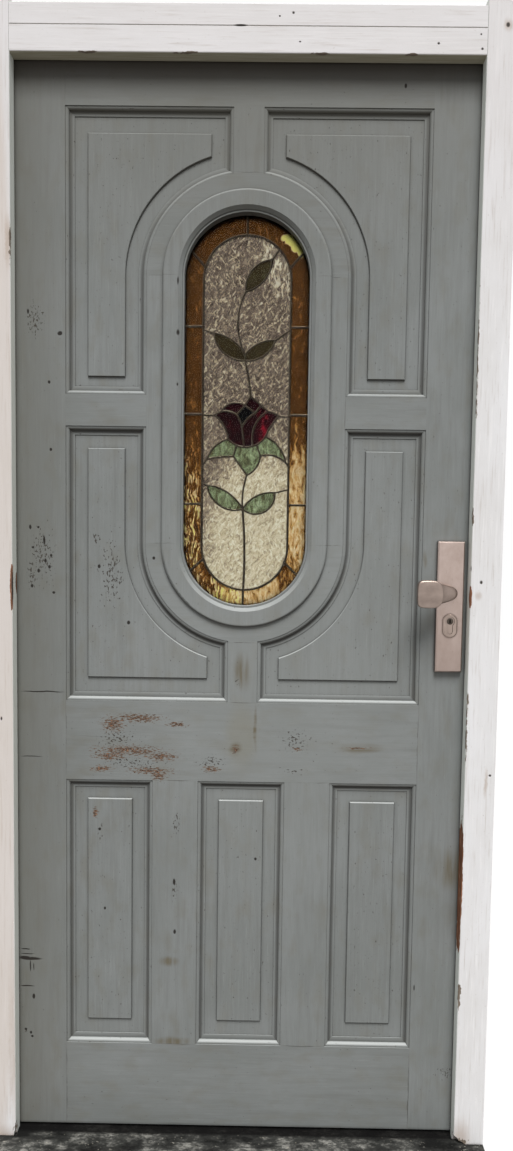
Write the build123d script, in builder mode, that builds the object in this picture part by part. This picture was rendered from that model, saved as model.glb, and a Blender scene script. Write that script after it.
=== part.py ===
from build123d import *

import math
import os

# Panelled front door with an oval light, hung in its rebated frame on a stone threshold. Millimetres.
# X runs along the doorway with the hinges at -X, +Y goes indoors and Z is up. Y = 0 is the street face of
# the closed leaf, X = 0 the middle of the leaf and Z = 0 the underside of the threshold.

# Leaf
leaf_width = 930.0
leaf_height = 2115.0
leaf_thickness = 40.0
stile_width = 114.5
top_rail_height = 92.0
bottom_rail_height = 173.0
lock_rail_up = 721.0  # from the leaf's foot to the underside of the lock rail
lock_rail_height = 160.0
cross_rail_height = 61.0
muntin_width = 58.0
muntin_height = 120.5  # clear height over and under the oval
low_muntin_width = 90.0
tenon_thickness = 12.0
tenon_length = 35.0
short_tenon_length = 18.0
tenon_shoulder = 17.0
mortise_play = 2.0  # left empty at the bottom of each mortise

# Timber oval round the glass: two half rings joined by two straight staves
oval_share = 0.552  # the oval's width as a share of the width between the stiles
oval_timber_width = 72.5
glass_rebate = 12.0
front_stop = 20.0  # timber in front of the glass

# Moulded edges of the framing: quirk, ovolo and a sloping fillet, with the panel groove behind
moulding_width = 16.5
lip_thickness = 10.0
quirk = 1.5
ovolo_radius = 6.0
fillet_depth = 8.6

# Panels
panel_play = 3.0  # room for the panel to move in its groove
field_rise = 4.0
field_bevel = 1.5
field_side_margin = 25.5
upper_margins = (18.5, 30.5)  # plain margin under and over the raised field
middle_margins = (29.5, 25.5)
low_margins = (31.0, 23.5)

# Raised moulding on the outside of the oval and glazing bead inside
band_width = 37.5
band_setback = 4.0  # from the timber's inner edge to the band's
band_proud = 7.0
band_round = 4.5
bead_overhang = 2.0  # past the timber's inner edge
bead_lap = 15.0  # over the timber, past the rebate
bead_proud = 6.0

# Leaded light
glass_play = 2.0
clear_pane_thickness = 4.0
came_width = 4.5
thin_came_width = 3.5
solder_margin = 0.5
came_thickness = 6.0
came_gap = 0.4  # between the clear pane and the leaded panel
coloured_glass_thickness = 3.6
drawn_radius = 131.0  # radius and straight length of the panel that the strokes below are drawn for
drawn_straight = 514.0
drawn_border = 85.5  # radius of the oval came inside the amber border
border_drop = 5.0  # its lower end lies this much lower than the panel's

# Frame
threshold_height = 50.0
threshold_nose = 60.0  # how far the stone runs out past the frame's street face
threshold_round = 5.0
threshold_gap = 7.0
frame_face_step = 31.0  # from the frame's street face to the leaf
stop_gap = 3.0
edge_gap = 3.0
cover_hinge = 18.0  # how far the frame's stops cover the leaf
cover_lock = 26.0
cover_head = 12.0
jamb_face_width = 59.0
head_face_height = 49.0
head_board_height = 39.5
horn_height = 13.0
arris_round = 2.5
board_chamfer = 1.2
broken_hinge_foot = (4.5, 26.0, 9.0)  # width, height and depth broken off the hinge post's foot
broken_lock_foot = (24.0, 19.0, 15.0)
fixing_radius = 5.1
fixing_spacings = (1300.0, 700.0)
fixing_middle_up = 1050.0

# Weather seal
seal_width = 3.0
seal_depth = 5.5
seal_bulb_width = 6.0
seal_inset = 6.0  # from the stop's edge to the middle of the seal
seal_clearance = 0.3

# Hinges
hinge_inset = 215.0  # from the leaf's foot and top to the middle of a hinge
hinge_length = 100.0
hinge_plate_thickness = 2.5
hinge_plate_setback = 8.0
knuckle_radius = 6.0
knuckle_count = 5
knuckle_gap = 0.4
hinge_pin_radius = 3.0
hinge_pin_head = 1.5
running_clearance = 0.05
hinge_offset = 6.5  # hinge axis beyond the leaf's indoor face
hinge_screw_spacing = 35.0

# Lock
backset = 60.0
spindle_up = 1105.5
cylinder_drop = 55.0  # from the spindle down to the cylinder
case_depth = 85.0
case_height = 165.0
case_thickness = 15.0
case_wall = 1.5
faceplate_width = 22.0
faceplate_height = 235.0
faceplate_thickness = 3.0
bolt_thickness = 11.6
bolt_clearance = 0.2
latch_height = 28.0
latch_length = 45.0
deadbolt_height = 30.0
deadbolt_length = 42.0
latch_throw = 12.0
deadbolt_throw = 20.0
keep_clearance = 2.0
strike_height = 215.0
strike_width = 30.0
strike_thickness = 2.5
follower_radius = 11.0
follower_boss_radius = 9.0
spindle_size = 8.0
spindle_hole_radius = 12.0

# Cylinder
barrel_radius = 8.5
web_width = 10.0
cylinder_height = 33.0
plug_radius = 6.5
cam_slot = 10.0
cam_radius = 15.0
cam_clearance = 0.5
keyway_width = 2.4
keyway_height = 8.0
keyway_depth = 24.0
key_screw_radius = 2.5
key_screw_drop = 20.0
cylinder_clearance = 0.5

# Handle plates, knob and lever
plate_width = 52.0
plate_height = 256.0
outside_plate_thickness = 12.0
outside_plate_bevel = 2.5
inside_plate_thickness = 8.0
plate_bolt_radius = 3.0
plate_bolt_spacing = 216.0
guard_width = 28.0
guard_spacing = 18.0  # between the centres of the guard's two round ends
guard_proud = 3.5
knob_offset = 49.0
knob_width = 49.0
knob_height = 53.0
knob_thickness = 12.0
knob_reach = 67.0
knob_neck_radius = 10.5
knob_corner = 6.0
lever_neck_radius = 9.0
lever_clearance = 0.1
lever_reach = 45.0  # from the inside plate to the middle of the lever
lever_length = 122.0
lever_width = 20.0
lever_thickness = 11.0

# Screws
screw_head_radius = 4.0
screw_shank_radius = 1.8
screw_length = 28.0

# Heights and places worked out from the sizes above
foot = threshold_height + threshold_gap
leaf_top = foot + leaf_height
half_leaf = leaf_width / 2
panel_edge = half_leaf - stile_width
ring_radius = oval_share * panel_edge
sight_radius = ring_radius - oval_timber_width
half_muntin = muntin_width / 2
bottom_rail_top = foot + bottom_rail_height
lock_low = foot + lock_rail_up
lock_high = lock_low + lock_rail_height
top_rail_low = leaf_top - top_rail_height
ring_low = lock_high + muntin_height + ring_radius
ring_high = top_rail_low - muntin_height - ring_radius
ring_middle = (ring_low + ring_high) / 2
ring_straight = ring_high - ring_low
cross_low = ring_middle - cross_rail_height / 2
cross_high = cross_low + cross_rail_height
low_opening = (2 * panel_edge - 2 * low_muntin_width) / 3
low_inner = low_opening / 2
low_outer = low_inner + low_muntin_width
rebate_radius = sight_radius + glass_rebate
mid_depth = leaf_thickness / 2
field_inset = moulding_width + field_side_margin
far = leaf_height

opening_hinge = -(half_leaf - cover_hinge)
opening_lock = half_leaf - cover_lock
outer_hinge = opening_hinge - jamb_face_width
outer_lock = opening_lock + jamb_face_width
rebate_side = half_leaf + edge_gap
opening_top = leaf_top - cover_head
rebate_top = leaf_top + edge_gap
head_top = opening_top + head_face_height
board_top = head_top + head_board_height
frame_top = board_top + horn_height
frame_front = -frame_face_step

hinge_x = -(half_leaf + edge_gap / 2)
hinge_y = leaf_thickness + hinge_offset
hinge_heights = [foot + hinge_inset, foot + leaf_height / 2, leaf_top - hinge_inset]

lock_x = half_leaf - backset
spindle_z = foot + spindle_up
cylinder_z = spindle_z - cylinder_drop
lock_middle = (spindle_z + cylinder_z) / 2
case_front = half_leaf - faceplate_thickness
plate_face = -outside_plate_thickness
inside_face = leaf_thickness + inside_plate_thickness
lever_y = inside_face + lever_reach
came_back = front_stop + clear_pane_thickness + came_gap + came_thickness
panel_radius = rebate_radius - glass_play


def wall(y):
    """Upright plane at depth y: local x is X and local y is Z. A positive extrusion runs to the street."""
    return Plane.XZ.offset(-y)


def plan(z):
    """Level plane at height z."""
    return Plane.XY.offset(z)


def across(x):
    """Upright plane at x: local x is Z and local y is Y. A positive extrusion runs towards the hinges."""
    return Plane(origin=(x, 0, 0), x_dir=(0, 0, 1), z_dir=(-1, 0, 0))


def block(x, y, z, mode=Mode.ADD):
    """Rectangular block between (low, high) limits on each axis."""
    limits = (x, y, z)
    with Locations(tuple((low + high) / 2 for low, high in limits)):
        Box(*(high - low for low, high in limits), mode=mode)


def rod(start, end, radius, mode=Mode.ADD):
    """Round bar between two points."""
    run = Vector(*end) - Vector(*start)
    with Locations(Plane(origin=start, z_dir=run)):
        Cylinder(radius, run.length, align=(Align.CENTER, Align.CENTER, Align.MIN), mode=mode)


def screw(head, direction, mode=Mode.ADD):
    """Countersunk screw with its head flush at a point, driven along a direction."""
    sink = screw_head_radius - screw_shank_radius
    with Locations(Plane(origin=head, z_dir=direction)):
        seat = (Align.CENTER, Align.CENTER, Align.MIN)
        Cone(screw_head_radius, screw_shank_radius, sink, align=seat, mode=mode)
        Cylinder(screw_shank_radius, screw_length, align=seat, mode=mode)


def cut_through(shape):
    """Cut a shape drawn in the plane of the leaf through its whole thickness."""
    with BuildSketch(wall(leaf_thickness)) as cut:
        add(shape)
    extrude(cut.sketch, amount=leaf_thickness, dir=(0, -1, 0), mode=Mode.SUBTRACT)


def raise_from(shape, start, end):
    """Add a shape drawn in the plane of the leaf, from depth start out to depth end."""
    with BuildSketch(wall(start)) as drawn:
        add(shape)
    extrude(drawn.sketch, amount=start - end, dir=(0, -1, 0))


def closed_shape(corners):
    """Flat face inside straight sides."""
    with BuildSketch() as shape:
        with BuildLine():
            Polyline(*corners, close=True)
        make_face()
    return shape.sketch


def rectangle(low_x, high_x, low_y, high_y):
    """Flat rectangle between its limits."""
    return closed_shape([(low_x, low_y), (high_x, low_y), (high_x, high_y), (low_x, high_y)])


def moulded_lips(edge, into):
    """The two moulded lips along one edge of a framing member, with the panel groove between them."""
    with BuildSketch() as lips:
        for face, inward in ((0.0, 1.0), (leaf_thickness, -1.0)):
            start = (edge + into * quirk, face + inward * quirk)
            end = (start[0] + into * ovolo_radius, start[1] + inward * ovolo_radius)
            bulge = ovolo_radius * math.sin(math.pi / 4)
            top = (start[0] + into * bulge, end[1] - inward * bulge)
            back = face + inward * lip_thickness
            with BuildLine():
                ThreePointArc(start, top, end)
                Polyline(
                    end,
                    (edge + into * moulding_width, face + inward * fillet_depth),
                    (edge + into * moulding_width, back),
                    (edge, back),
                    (edge, face + inward * quirk),
                    start,
                )
            make_face()
    return lips.sketch


def member_section(low, high, moulded_low, moulded_high):
    """Section of a framing member between two edges, each square or moulded."""
    with BuildSketch() as section:
        add(rectangle(low, high, 0, leaf_thickness))
        if moulded_low:
            add(moulded_lips(low, -1))
        if moulded_high:
            add(moulded_lips(high, 1))
    return section.sketch


def mitre_gap(edge, into, low, high, level=False):
    """Shape cleared from a moulded edge where another member butts it, with mitred sides."""
    corners = [
        (edge, low),
        (edge + into * moulding_width, low - moulding_width),
        (edge + into * moulding_width, high + moulding_width),
        (edge, high),
    ]
    if level:
        corners = [(y, x) for x, y in corners]
    return closed_shape(corners)


def stub(x, z, mode=Mode.ADD):
    """Tenon between its limits on X and Z, in the middle of the thickness. Subtracted, it is the mortise."""
    block(x, (mid_depth - tenon_thickness / 2, mid_depth + tenon_thickness / 2), z, mode)


def side_tenons(low, high, inner=None):
    """Tenons of a rail into the stiles, at both ends or, beside the oval, at the stile end only."""
    limits = (low + tenon_shoulder, high - tenon_shoulder)
    stub((panel_edge, panel_edge + tenon_length), limits)
    if inner is None:
        stub((-panel_edge - tenon_length, -panel_edge), limits)


def stile_mortises(side):
    """Mortises of the four rails in a stile, side -1 for the hinges and 1 for the lock."""
    for low, high in rail_heights:
        ends = sorted((side * panel_edge, side * (panel_edge + tenon_length + mortise_play)))
        stub(ends, (low + tenon_shoulder, high - tenon_shoulder), Mode.SUBTRACT)


def beside_oval(centre, up, inset, side_inset, far_level, cross_level):
    """Outline of a panel beside the oval, on the lock side: up is 1 above the cross rail and -1 below."""
    radius = ring_radius + inset
    inner = half_muntin + inset
    outer = panel_edge - side_inset
    corner_angle = math.acos(inner / radius)
    corner = (inner, centre + up * radius * math.sin(corner_angle))
    half_way = (radius * math.cos(corner_angle / 2), centre + up * radius * math.sin(corner_angle / 2))
    with BuildSketch() as outline:
        with BuildLine():
            ThreePointArc((radius, centre), half_way, corner)
            Polyline(
                corner,
                (inner, far_level),
                (outer, far_level),
                (outer, cross_level),
                (radius, cross_level),
                (radius, centre),
            )
        make_face()
    return outline.sketch


def fielded_panel(blank, field):
    """Panel with its tongue in the groove and a raised field with a bevelled edge on both faces."""
    street = lip_thickness - field_rise
    indoors = leaf_thickness - street
    raise_from(blank, leaf_thickness - lip_thickness, lip_thickness)
    raise_from(field, indoors, street)
    rims = edges().filter_by_position(Axis.Y, street, street) + edges().filter_by_position(
        Axis.Y, indoors, indoors
    )
    chamfer(rims, field_bevel)


def stadium(radius):
    """Upright oval of straight sides and round ends on the centres of the timber oval."""
    with BuildSketch() as oval:
        with Locations((0, ring_middle)):
            SlotCenterToCenter(ring_straight, 2 * radius, rotation=90)
    return oval.sketch


def oval_loop(section):
    """Carry a section, drawn with x as the radius and y as the depth, once round the oval."""
    for up, level in ((-1, ring_high), (1, ring_low)):
        with BuildSketch(plan(level)) as end:
            add(section)
        revolve(end.sketch, axis=Axis((0, 0, level), (0, up, 0)), revolution_arc=180)
    with BuildSketch(plan(ring_low)) as straight:
        add(section)
        mirror(section, about=Plane.YZ)
    extrude(straight.sketch, amount=ring_straight, dir=(0, 0, 1))


def euro_profile(clearance=0.0):
    """Key-cylinder outline: a round barrel over a narrow web with a round foot."""
    with BuildSketch() as profile:
        with Locations((lock_x, cylinder_z)):
            Circle(barrel_radius + clearance)
        web = web_width / 2 + clearance
        foot_level = cylinder_z + barrel_radius - cylinder_height + web_width / 2
        add(rectangle(lock_x - web, lock_x + web, foot_level, cylinder_z))
        with Locations((lock_x, foot_level)):
            Circle(web)
    return profile.sketch


rail_heights = [
    (foot, bottom_rail_top),
    (lock_low, lock_high),
    (cross_low, cross_high),
    (top_rail_low, leaf_top),
]
stile_gaps = [
    (foot - far, bottom_rail_top),
    (lock_low, lock_high),
    (cross_low, cross_high),
    (top_rail_low, leaf_top + far),
]
end_gaps = [(-panel_edge - far, -panel_edge), (panel_edge, panel_edge + far)]
upper_rail_gaps = [*end_gaps, (-half_muntin, half_muntin)]
lower_rail_gaps = [*end_gaps, (-low_outer, -low_inner), (low_inner, low_outer)]
strike_y = (leaf_thickness - strike_width, leaf_thickness)
strike_z = (lock_middle - strike_height / 2, lock_middle + strike_height / 2)
bolt_y = (mid_depth - bolt_thickness / 2, mid_depth + bolt_thickness / 2)
keep_half = bolt_thickness / 2 + keep_clearance
keep_y = (mid_depth - keep_half, mid_depth + keep_half)
bolt_rows = ((spindle_z, latch_height, latch_throw), (cylinder_z, deadbolt_height, deadbolt_throw))
seal_x = (opening_hinge - seal_inset, opening_lock + seal_inset)
seal_top = opening_top + seal_inset
hinge_screw_y = (hinge_plate_setback + leaf_thickness) / 2
hinge_screw_rows = [z + step * hinge_screw_spacing for z in hinge_heights for step in (-1, 0, 1)]
strike_screw_rows = [lock_middle + side * (strike_height / 2 - 12) for side in (-1, 1)]
faceplate_screw_rows = [lock_middle + side * (faceplate_height / 2 - 12) for side in (-1, 1)]
screw_z = cylinder_z - key_screw_drop
plate_bolt_rows = [lock_middle + side * plate_bolt_spacing / 2 for side in (-1, 1)]


# Threshold: stone sill with a rounded nose
with BuildPart() as threshold:
    block((outer_hinge, outer_lock), (frame_front - threshold_nose, leaf_thickness), (0, threshold_height))
    fillet(edges().group_by(Axis.Z)[-1].sort_by(Axis.Y)[0], threshold_round)


def jamb_sketch(outer, opening, rebate):
    """Plan of a post from its outer side to its stop, with the leaf's rebate behind the stop."""
    low, high = sorted((outer, opening))
    with BuildSketch() as drawn:
        add(rectangle(low, high, frame_front, leaf_thickness))
        low, high = sorted((opening, rebate))
        add(rectangle(low, high, -stop_gap, leaf_thickness), mode=Mode.SUBTRACT)
    return drawn.sketch


def seal_kerf():
    """Groove for the weather seal in the stops of the posts and the head."""
    for edge in seal_x:
        side = (edge - seal_width / 2, edge + seal_width / 2)
        block(side, (-stop_gap - seal_depth, -stop_gap), (foot, seal_top + seal_width / 2), Mode.SUBTRACT)
    top = (seal_top - seal_width / 2, seal_top + seal_width / 2)
    block(seal_x, (-stop_gap - seal_depth, -stop_gap), top, Mode.SUBTRACT)


def head_tenons(mode=Mode.ADD):
    """Tenons of the head into the posts."""
    y = (frame_front + 9, frame_front + 21)
    z = (opening_top + 8, head_top - 8)
    for opening, side in ((opening_hinge, -1), (opening_lock, 1)):
        block(sorted((opening, opening + side * tenon_length)), y, z, mode)


def fixing_holes(outer, rebate):
    """Holes for the screws that hold a post to the wall."""
    for spacing in fixing_spacings:
        for side in (-1, 1):
            z = foot + fixing_middle_up + side * spacing / 2
            rod((outer, mid_depth, z), (rebate, mid_depth, z), fixing_radius, Mode.SUBTRACT)


def broken_foot(opening, side, size):
    """Splintered corner missing from the foot of a post at its street arris."""
    width, height, depth = size
    edge = ((-0.1, 1.1), (0.06, 0.92), (0.3, 0.72), (0.42, 0.4), (0.7, 0.28), (1.04, -0.1), (-0.1, -0.1))
    with BuildSketch(wall(frame_front)) as missing:
        add(closed_shape([(opening + side * width * x, threshold_height + height * z) for x, z in edge]))
    extrude(missing.sketch, amount=depth, dir=(0, 1, 0), mode=Mode.SUBTRACT)


# Hinge-side post
with BuildPart() as jamb_hinge:
    with BuildSketch(plan(threshold_height)):
        add(jamb_sketch(outer_hinge, opening_hinge, -rebate_side))
    extrude(amount=frame_top - threshold_height)
    fillet(edges().filter_by(Axis.Z).group_by(Axis.Y)[0].sort_by(Axis.X)[-1], arris_round)
    seal_kerf()
    head_tenons(Mode.SUBTRACT)
    fixing_holes(outer_hinge, -rebate_side)
    for z in hinge_heights:
        plate = (-rebate_side - hinge_plate_thickness, -rebate_side)
        height = (z - hinge_length / 2, z + hinge_length / 2)
        block(plate, (hinge_plate_setback, leaf_thickness), height, Mode.SUBTRACT)
    for z in hinge_screw_rows:
        screw((-rebate_side, hinge_screw_y, z), (-1, 0, 0), Mode.SUBTRACT)
    broken_foot(opening_hinge, -1, broken_hinge_foot)

# Lock-side post with the keeps
with BuildPart() as jamb_lock:
    with BuildSketch(plan(threshold_height)):
        add(jamb_sketch(outer_lock, opening_lock, rebate_side))
    extrude(amount=frame_top - threshold_height)
    fillet(edges().filter_by(Axis.Z).group_by(Axis.Y)[0].sort_by(Axis.X)[0], arris_round)
    seal_kerf()
    head_tenons(Mode.SUBTRACT)
    fixing_holes(outer_lock, rebate_side)
    block((rebate_side, rebate_side + strike_thickness), strike_y, strike_z, Mode.SUBTRACT)
    for z, height, throw in bolt_rows:
        keep_z = (z - height / 2 - keep_clearance, z + height / 2 + keep_clearance)
        keep_x = (rebate_side, half_leaf + throw + keep_clearance)
        block(keep_x, keep_y, keep_z, Mode.SUBTRACT)
    for z in strike_screw_rows:
        screw((rebate_side, mid_depth, z), (1, 0, 0), Mode.SUBTRACT)
    broken_foot(opening_lock, 1, broken_lock_foot)

# Head: the rebated head between the posts
with BuildPart() as head_rail:
    block((opening_hinge, opening_lock), (frame_front, -stop_gap), (opening_top, head_top))
    block((-rebate_side, rebate_side), (-stop_gap, leaf_thickness), (rebate_top, head_top))
    lowest = edges().filter_by(Axis.X).group_by(Axis.Y)[0].sort_by(Axis.Z)[0]
    fillet(lowest, arris_round)
    chamfer(edges().filter_by(Axis.X).group_by(Axis.Y)[0].sort_by(Axis.Z)[-1], board_chamfer)
    seal_kerf()
    head_tenons()

# Second board above the head
with BuildPart() as head_board:
    block((opening_hinge, opening_lock), (frame_front, -stop_gap), (head_top, board_top))
    block((-rebate_side, rebate_side), (-stop_gap, leaf_thickness), (head_top, board_top))
    chamfer(edges().filter_by(Axis.X).group_by(Axis.Y)[0], board_chamfer)

# Weather seal: one strip with a stem in the kerf and a bulb towards the leaf
with BuildPart() as weather_seal:
    for width, front, back in (
        (seal_width, -stop_gap - seal_depth, -stop_gap),
        (seal_bulb_width, -stop_gap, -seal_clearance),
    ):
        half = width / 2
        for edge in seal_x:
            block((edge - half, edge + half), (front, back), (foot, seal_top + half))
        block((seal_x[0], seal_x[1]), (front, back), (seal_top - half, seal_top + half))

# Strike plate in the lock-side post
with BuildPart() as strike_plate:
    block((rebate_side, rebate_side + strike_thickness), strike_y, strike_z)
    for z, height, throw in bolt_rows:
        keep_z = (z - height / 2 - keep_clearance, z + height / 2 + keep_clearance)
        block((rebate_side, rebate_side + strike_thickness), keep_y, keep_z, Mode.SUBTRACT)
    for z in strike_screw_rows:
        screw((rebate_side, mid_depth, z), (1, 0, 0), Mode.SUBTRACT)

def hinge_halves(plate_x, knuckles, screws_x, direction):
    """One half of each of the three hinges: flat plates and every other knuckle."""
    pitch = hinge_length / knuckle_count
    for z in hinge_heights:
        low = z - hinge_length / 2
        block(plate_x, (hinge_plate_setback, leaf_thickness), (low, low + hinge_length))
        for number in knuckles:
            start = low + number * pitch + knuckle_gap / 2
            end = low + (number + 1) * pitch - knuckle_gap / 2
            block(plate_x, (leaf_thickness, hinge_y), (start, end))
            rod((hinge_x, hinge_y, start), (hinge_x, hinge_y, end), knuckle_radius)
        bore = hinge_pin_radius + running_clearance
        rod((hinge_x, hinge_y, low), (hinge_x, hinge_y, low + hinge_length), bore, Mode.SUBTRACT)
    for z in hinge_screw_rows:
        screw((screws_x, hinge_screw_y, z), direction, Mode.SUBTRACT)


# Hinge halves on the frame and their pins, with the screws of the hinges and of the strike plate
with BuildPart() as hinge_plates_frame:
    frame_plate_x = (-rebate_side - hinge_plate_thickness, -rebate_side)
    hinge_halves(frame_plate_x, range(0, knuckle_count, 2), -rebate_side, (-1, 0, 0))

with BuildPart() as frame_screws:
    for z in hinge_screw_rows:
        screw((-rebate_side, hinge_screw_y, z), (-1, 0, 0))
    for z in strike_screw_rows:
        screw((rebate_side, mid_depth, z), (1, 0, 0))

with BuildPart() as hinge_pins:
    for z in hinge_heights:
        top = z + hinge_length / 2
        rod((hinge_x, hinge_y, z - hinge_length / 2), (hinge_x, hinge_y, top), hinge_pin_radius)
        rod((hinge_x, hinge_y, top), (hinge_x, hinge_y, top + hinge_pin_head), knuckle_radius)

# Hinge halves on the leaf
with BuildPart() as hinge_plates_leaf:
    leaf_plate_x = (-half_leaf, -half_leaf + hinge_plate_thickness)
    hinge_halves(leaf_plate_x, range(1, knuckle_count, 2), -half_leaf, (1, 0, 0))

with BuildPart() as hinge_screws_leaf:
    for z in hinge_screw_rows:
        screw((-half_leaf, hinge_screw_y, z), (1, 0, 0))

# Hinge stile
with BuildPart() as stile_hinge:
    with BuildSketch(plan(foot)):
        add(member_section(-half_leaf, -panel_edge, False, True))
    extrude(amount=leaf_height)
    for low, high in stile_gaps:
        cut_through(mitre_gap(-panel_edge, 1, low, high))
    stile_mortises(-1)
    for z in hinge_heights:
        height = (z - hinge_length / 2, z + hinge_length / 2)
        block(leaf_plate_x, (hinge_plate_setback, leaf_thickness), height, Mode.SUBTRACT)
    for z in hinge_screw_rows:
        screw((-half_leaf, hinge_screw_y, z), (1, 0, 0), Mode.SUBTRACT)

# Lock stile, mortised for the lock
case_z = (lock_middle - case_height / 2, lock_middle + case_height / 2)
case_x = (case_front - case_depth, case_front)
case_y = (mid_depth - case_thickness / 2, mid_depth + case_thickness / 2)
faceplate_y = (mid_depth - faceplate_width / 2, mid_depth + faceplate_width / 2)
faceplate_z = (lock_middle - faceplate_height / 2, lock_middle + faceplate_height / 2)


def lock_cuts():
    """Room for the lock, its cylinder and the plates' bolts, in the stile and in the tenons it meets."""
    block(case_x, case_y, case_z, Mode.SUBTRACT)
    block((case_front, half_leaf), faceplate_y, faceplate_z, Mode.SUBTRACT)
    rod((lock_x, 0, spindle_z), (lock_x, leaf_thickness, spindle_z), spindle_hole_radius, Mode.SUBTRACT)
    cut_through(euro_profile(cylinder_clearance))
    for z in plate_bolt_rows:
        rod((lock_x, 0, z), (lock_x, leaf_thickness, z), plate_bolt_radius, Mode.SUBTRACT)
    for z in faceplate_screw_rows:
        screw((half_leaf, mid_depth, z), (-1, 0, 0), Mode.SUBTRACT)


with BuildPart() as stile_lock:
    with BuildSketch(plan(foot)):
        add(member_section(panel_edge, half_leaf, True, False))
    extrude(amount=leaf_height)
    for low, high in stile_gaps:
        cut_through(mitre_gap(panel_edge, -1, low, high))
    stile_mortises(1)
    lock_cuts()

# Top rail
with BuildPart() as top_rail:
    with BuildSketch(across(panel_edge)):
        add(member_section(top_rail_low, leaf_top, True, False))
    extrude(amount=2 * panel_edge)
    for low, high in upper_rail_gaps:
        cut_through(mitre_gap(top_rail_low, -1, low, high, level=True))
    side_tenons(top_rail_low, leaf_top)
    top_tenon_x = (-half_muntin + tenon_shoulder, half_muntin - tenon_shoulder)
    stub(top_tenon_x, (top_rail_low, top_rail_low + short_tenon_length + mortise_play), Mode.SUBTRACT)

# Lock rail
with BuildPart() as lock_rail:
    with BuildSketch(across(panel_edge)):
        add(member_section(lock_low, lock_high, True, True))
    extrude(amount=2 * panel_edge)
    for low, high in upper_rail_gaps:
        cut_through(mitre_gap(lock_high, 1, low, high, level=True))
    for low, high in lower_rail_gaps:
        cut_through(mitre_gap(lock_low, -1, low, high, level=True))
    side_tenons(lock_low, lock_high)
    lock_cuts()
    stub(top_tenon_x, (lock_high - short_tenon_length - mortise_play, lock_high), Mode.SUBTRACT)
    for side in (-1, 1):
        middle = side * (low_inner + low_outer) / 2
        reach = low_muntin_width / 2 - tenon_shoulder
        depth = (lock_low, lock_low + short_tenon_length + mortise_play)
        stub((middle - reach, middle + reach), depth, Mode.SUBTRACT)

# Bottom rail
with BuildPart() as bottom_rail:
    with BuildSketch(across(panel_edge)):
        add(member_section(foot, bottom_rail_top, False, True))
    extrude(amount=2 * panel_edge)
    for low, high in lower_rail_gaps:
        cut_through(mitre_gap(bottom_rail_top, 1, low, high, level=True))
    side_tenons(foot, bottom_rail_top)
    for side in (-1, 1):
        middle = side * (low_inner + low_outer) / 2
        reach = low_muntin_width / 2 - tenon_shoulder
        depth = (bottom_rail_top - short_tenon_length - mortise_play, bottom_rail_top)
        stub((middle - reach, middle + reach), depth, Mode.SUBTRACT)

# Cross rails beside the oval
with BuildPart() as cross_rail:
    with BuildSketch(across(panel_edge)):
        add(member_section(cross_low, cross_high, True, True))
    extrude(amount=panel_edge - ring_radius)
    for edge, into in ((cross_low, -1), (cross_high, 1)):
        for low, high in ((ring_radius - far, ring_radius), (panel_edge, far)):
            cut_through(mitre_gap(edge, into, low, high, level=True))
    side_tenons(cross_low, cross_high, inner=ring_radius)
    cross_tenon_z = (cross_low + tenon_shoulder, cross_high - tenon_shoulder)
    stub((ring_radius - short_tenon_length, ring_radius), cross_tenon_z)

with BuildPart() as cross_rail_hinge:
    mirror(cross_rail.part, about=Plane.YZ)

with BuildPart() as cross_rail_lock:
    add(cross_rail.part)
    lock_cuts()

# Muntins above and below the oval, hollowed to fit it
mitre_radius = ring_radius + moulding_width
mitre_x = half_muntin + moulding_width
mitre_rise = math.sqrt(mitre_radius**2 - mitre_x**2)
seat_rise = math.sqrt(ring_radius**2 - half_muntin**2)


def fit_to_oval(centre, up, end):
    """Hollow a muntin to the oval and mitre its mouldings at the oval and at the rail's edge."""
    with BuildSketch() as oval_end:
        with Locations((0, centre)):
            Circle(ring_radius)
    cut_through(oval_end.sketch)
    for side in (-1, 1):
        near = [
            (side * half_muntin, centre + up * seat_rise),
            (side * mitre_x, centre + up * mitre_rise),
            (side * mitre_x, centre),
            (side * half_muntin, centre),
        ]
        cut_through(closed_shape(near))
        mitre_end = (side * mitre_x, end - up * moulding_width)
        cut_through(closed_shape([(side * half_muntin, end), (side * mitre_x, end), mitre_end]))


with BuildPart() as muntin_top:
    with BuildSketch(plan(ring_high + ring_radius / 2)):
        add(member_section(-half_muntin, half_muntin, True, True))
    extrude(amount=top_rail_low - ring_high - ring_radius / 2)
    fit_to_oval(ring_high, 1, top_rail_low)
    stub(top_tenon_x, (top_rail_low, top_rail_low + short_tenon_length))

with BuildPart() as muntin_middle:
    with BuildSketch(plan(lock_high)):
        add(member_section(-half_muntin, half_muntin, True, True))
    extrude(amount=ring_low - ring_radius / 2 - lock_high)
    fit_to_oval(ring_low, -1, lock_high)
    stub(top_tenon_x, (lock_high - short_tenon_length, lock_high))

# Lower muntins
with BuildPart() as muntin_low_lock:
    with BuildSketch(plan(bottom_rail_top)):
        add(member_section(low_inner, low_outer, True, True))
    extrude(amount=lock_low - bottom_rail_top)
    for edge, into in ((low_inner, -1), (low_outer, 1)):
        for low, high in ((bottom_rail_top - far, bottom_rail_top), (lock_low, lock_low + far)):
            cut_through(mitre_gap(edge, into, low, high))
    low_tenon_x = (low_inner + tenon_shoulder, low_outer - tenon_shoulder)
    stub(low_tenon_x, (bottom_rail_top - short_tenon_length, bottom_rail_top))
    stub(low_tenon_x, (lock_low, lock_low + short_tenon_length))

with BuildPart() as muntin_low_hinge:
    mirror(muntin_low_lock.part, about=Plane.YZ)

# Timber oval: section with the glass rebate inside and the moulded lips outside
with BuildSketch() as ring_section:
    add(rectangle(rebate_radius, ring_radius, 0, leaf_thickness))
    add(rectangle(sight_radius, rebate_radius, 0, front_stop))
    add(moulded_lips(ring_radius, 1))

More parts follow.
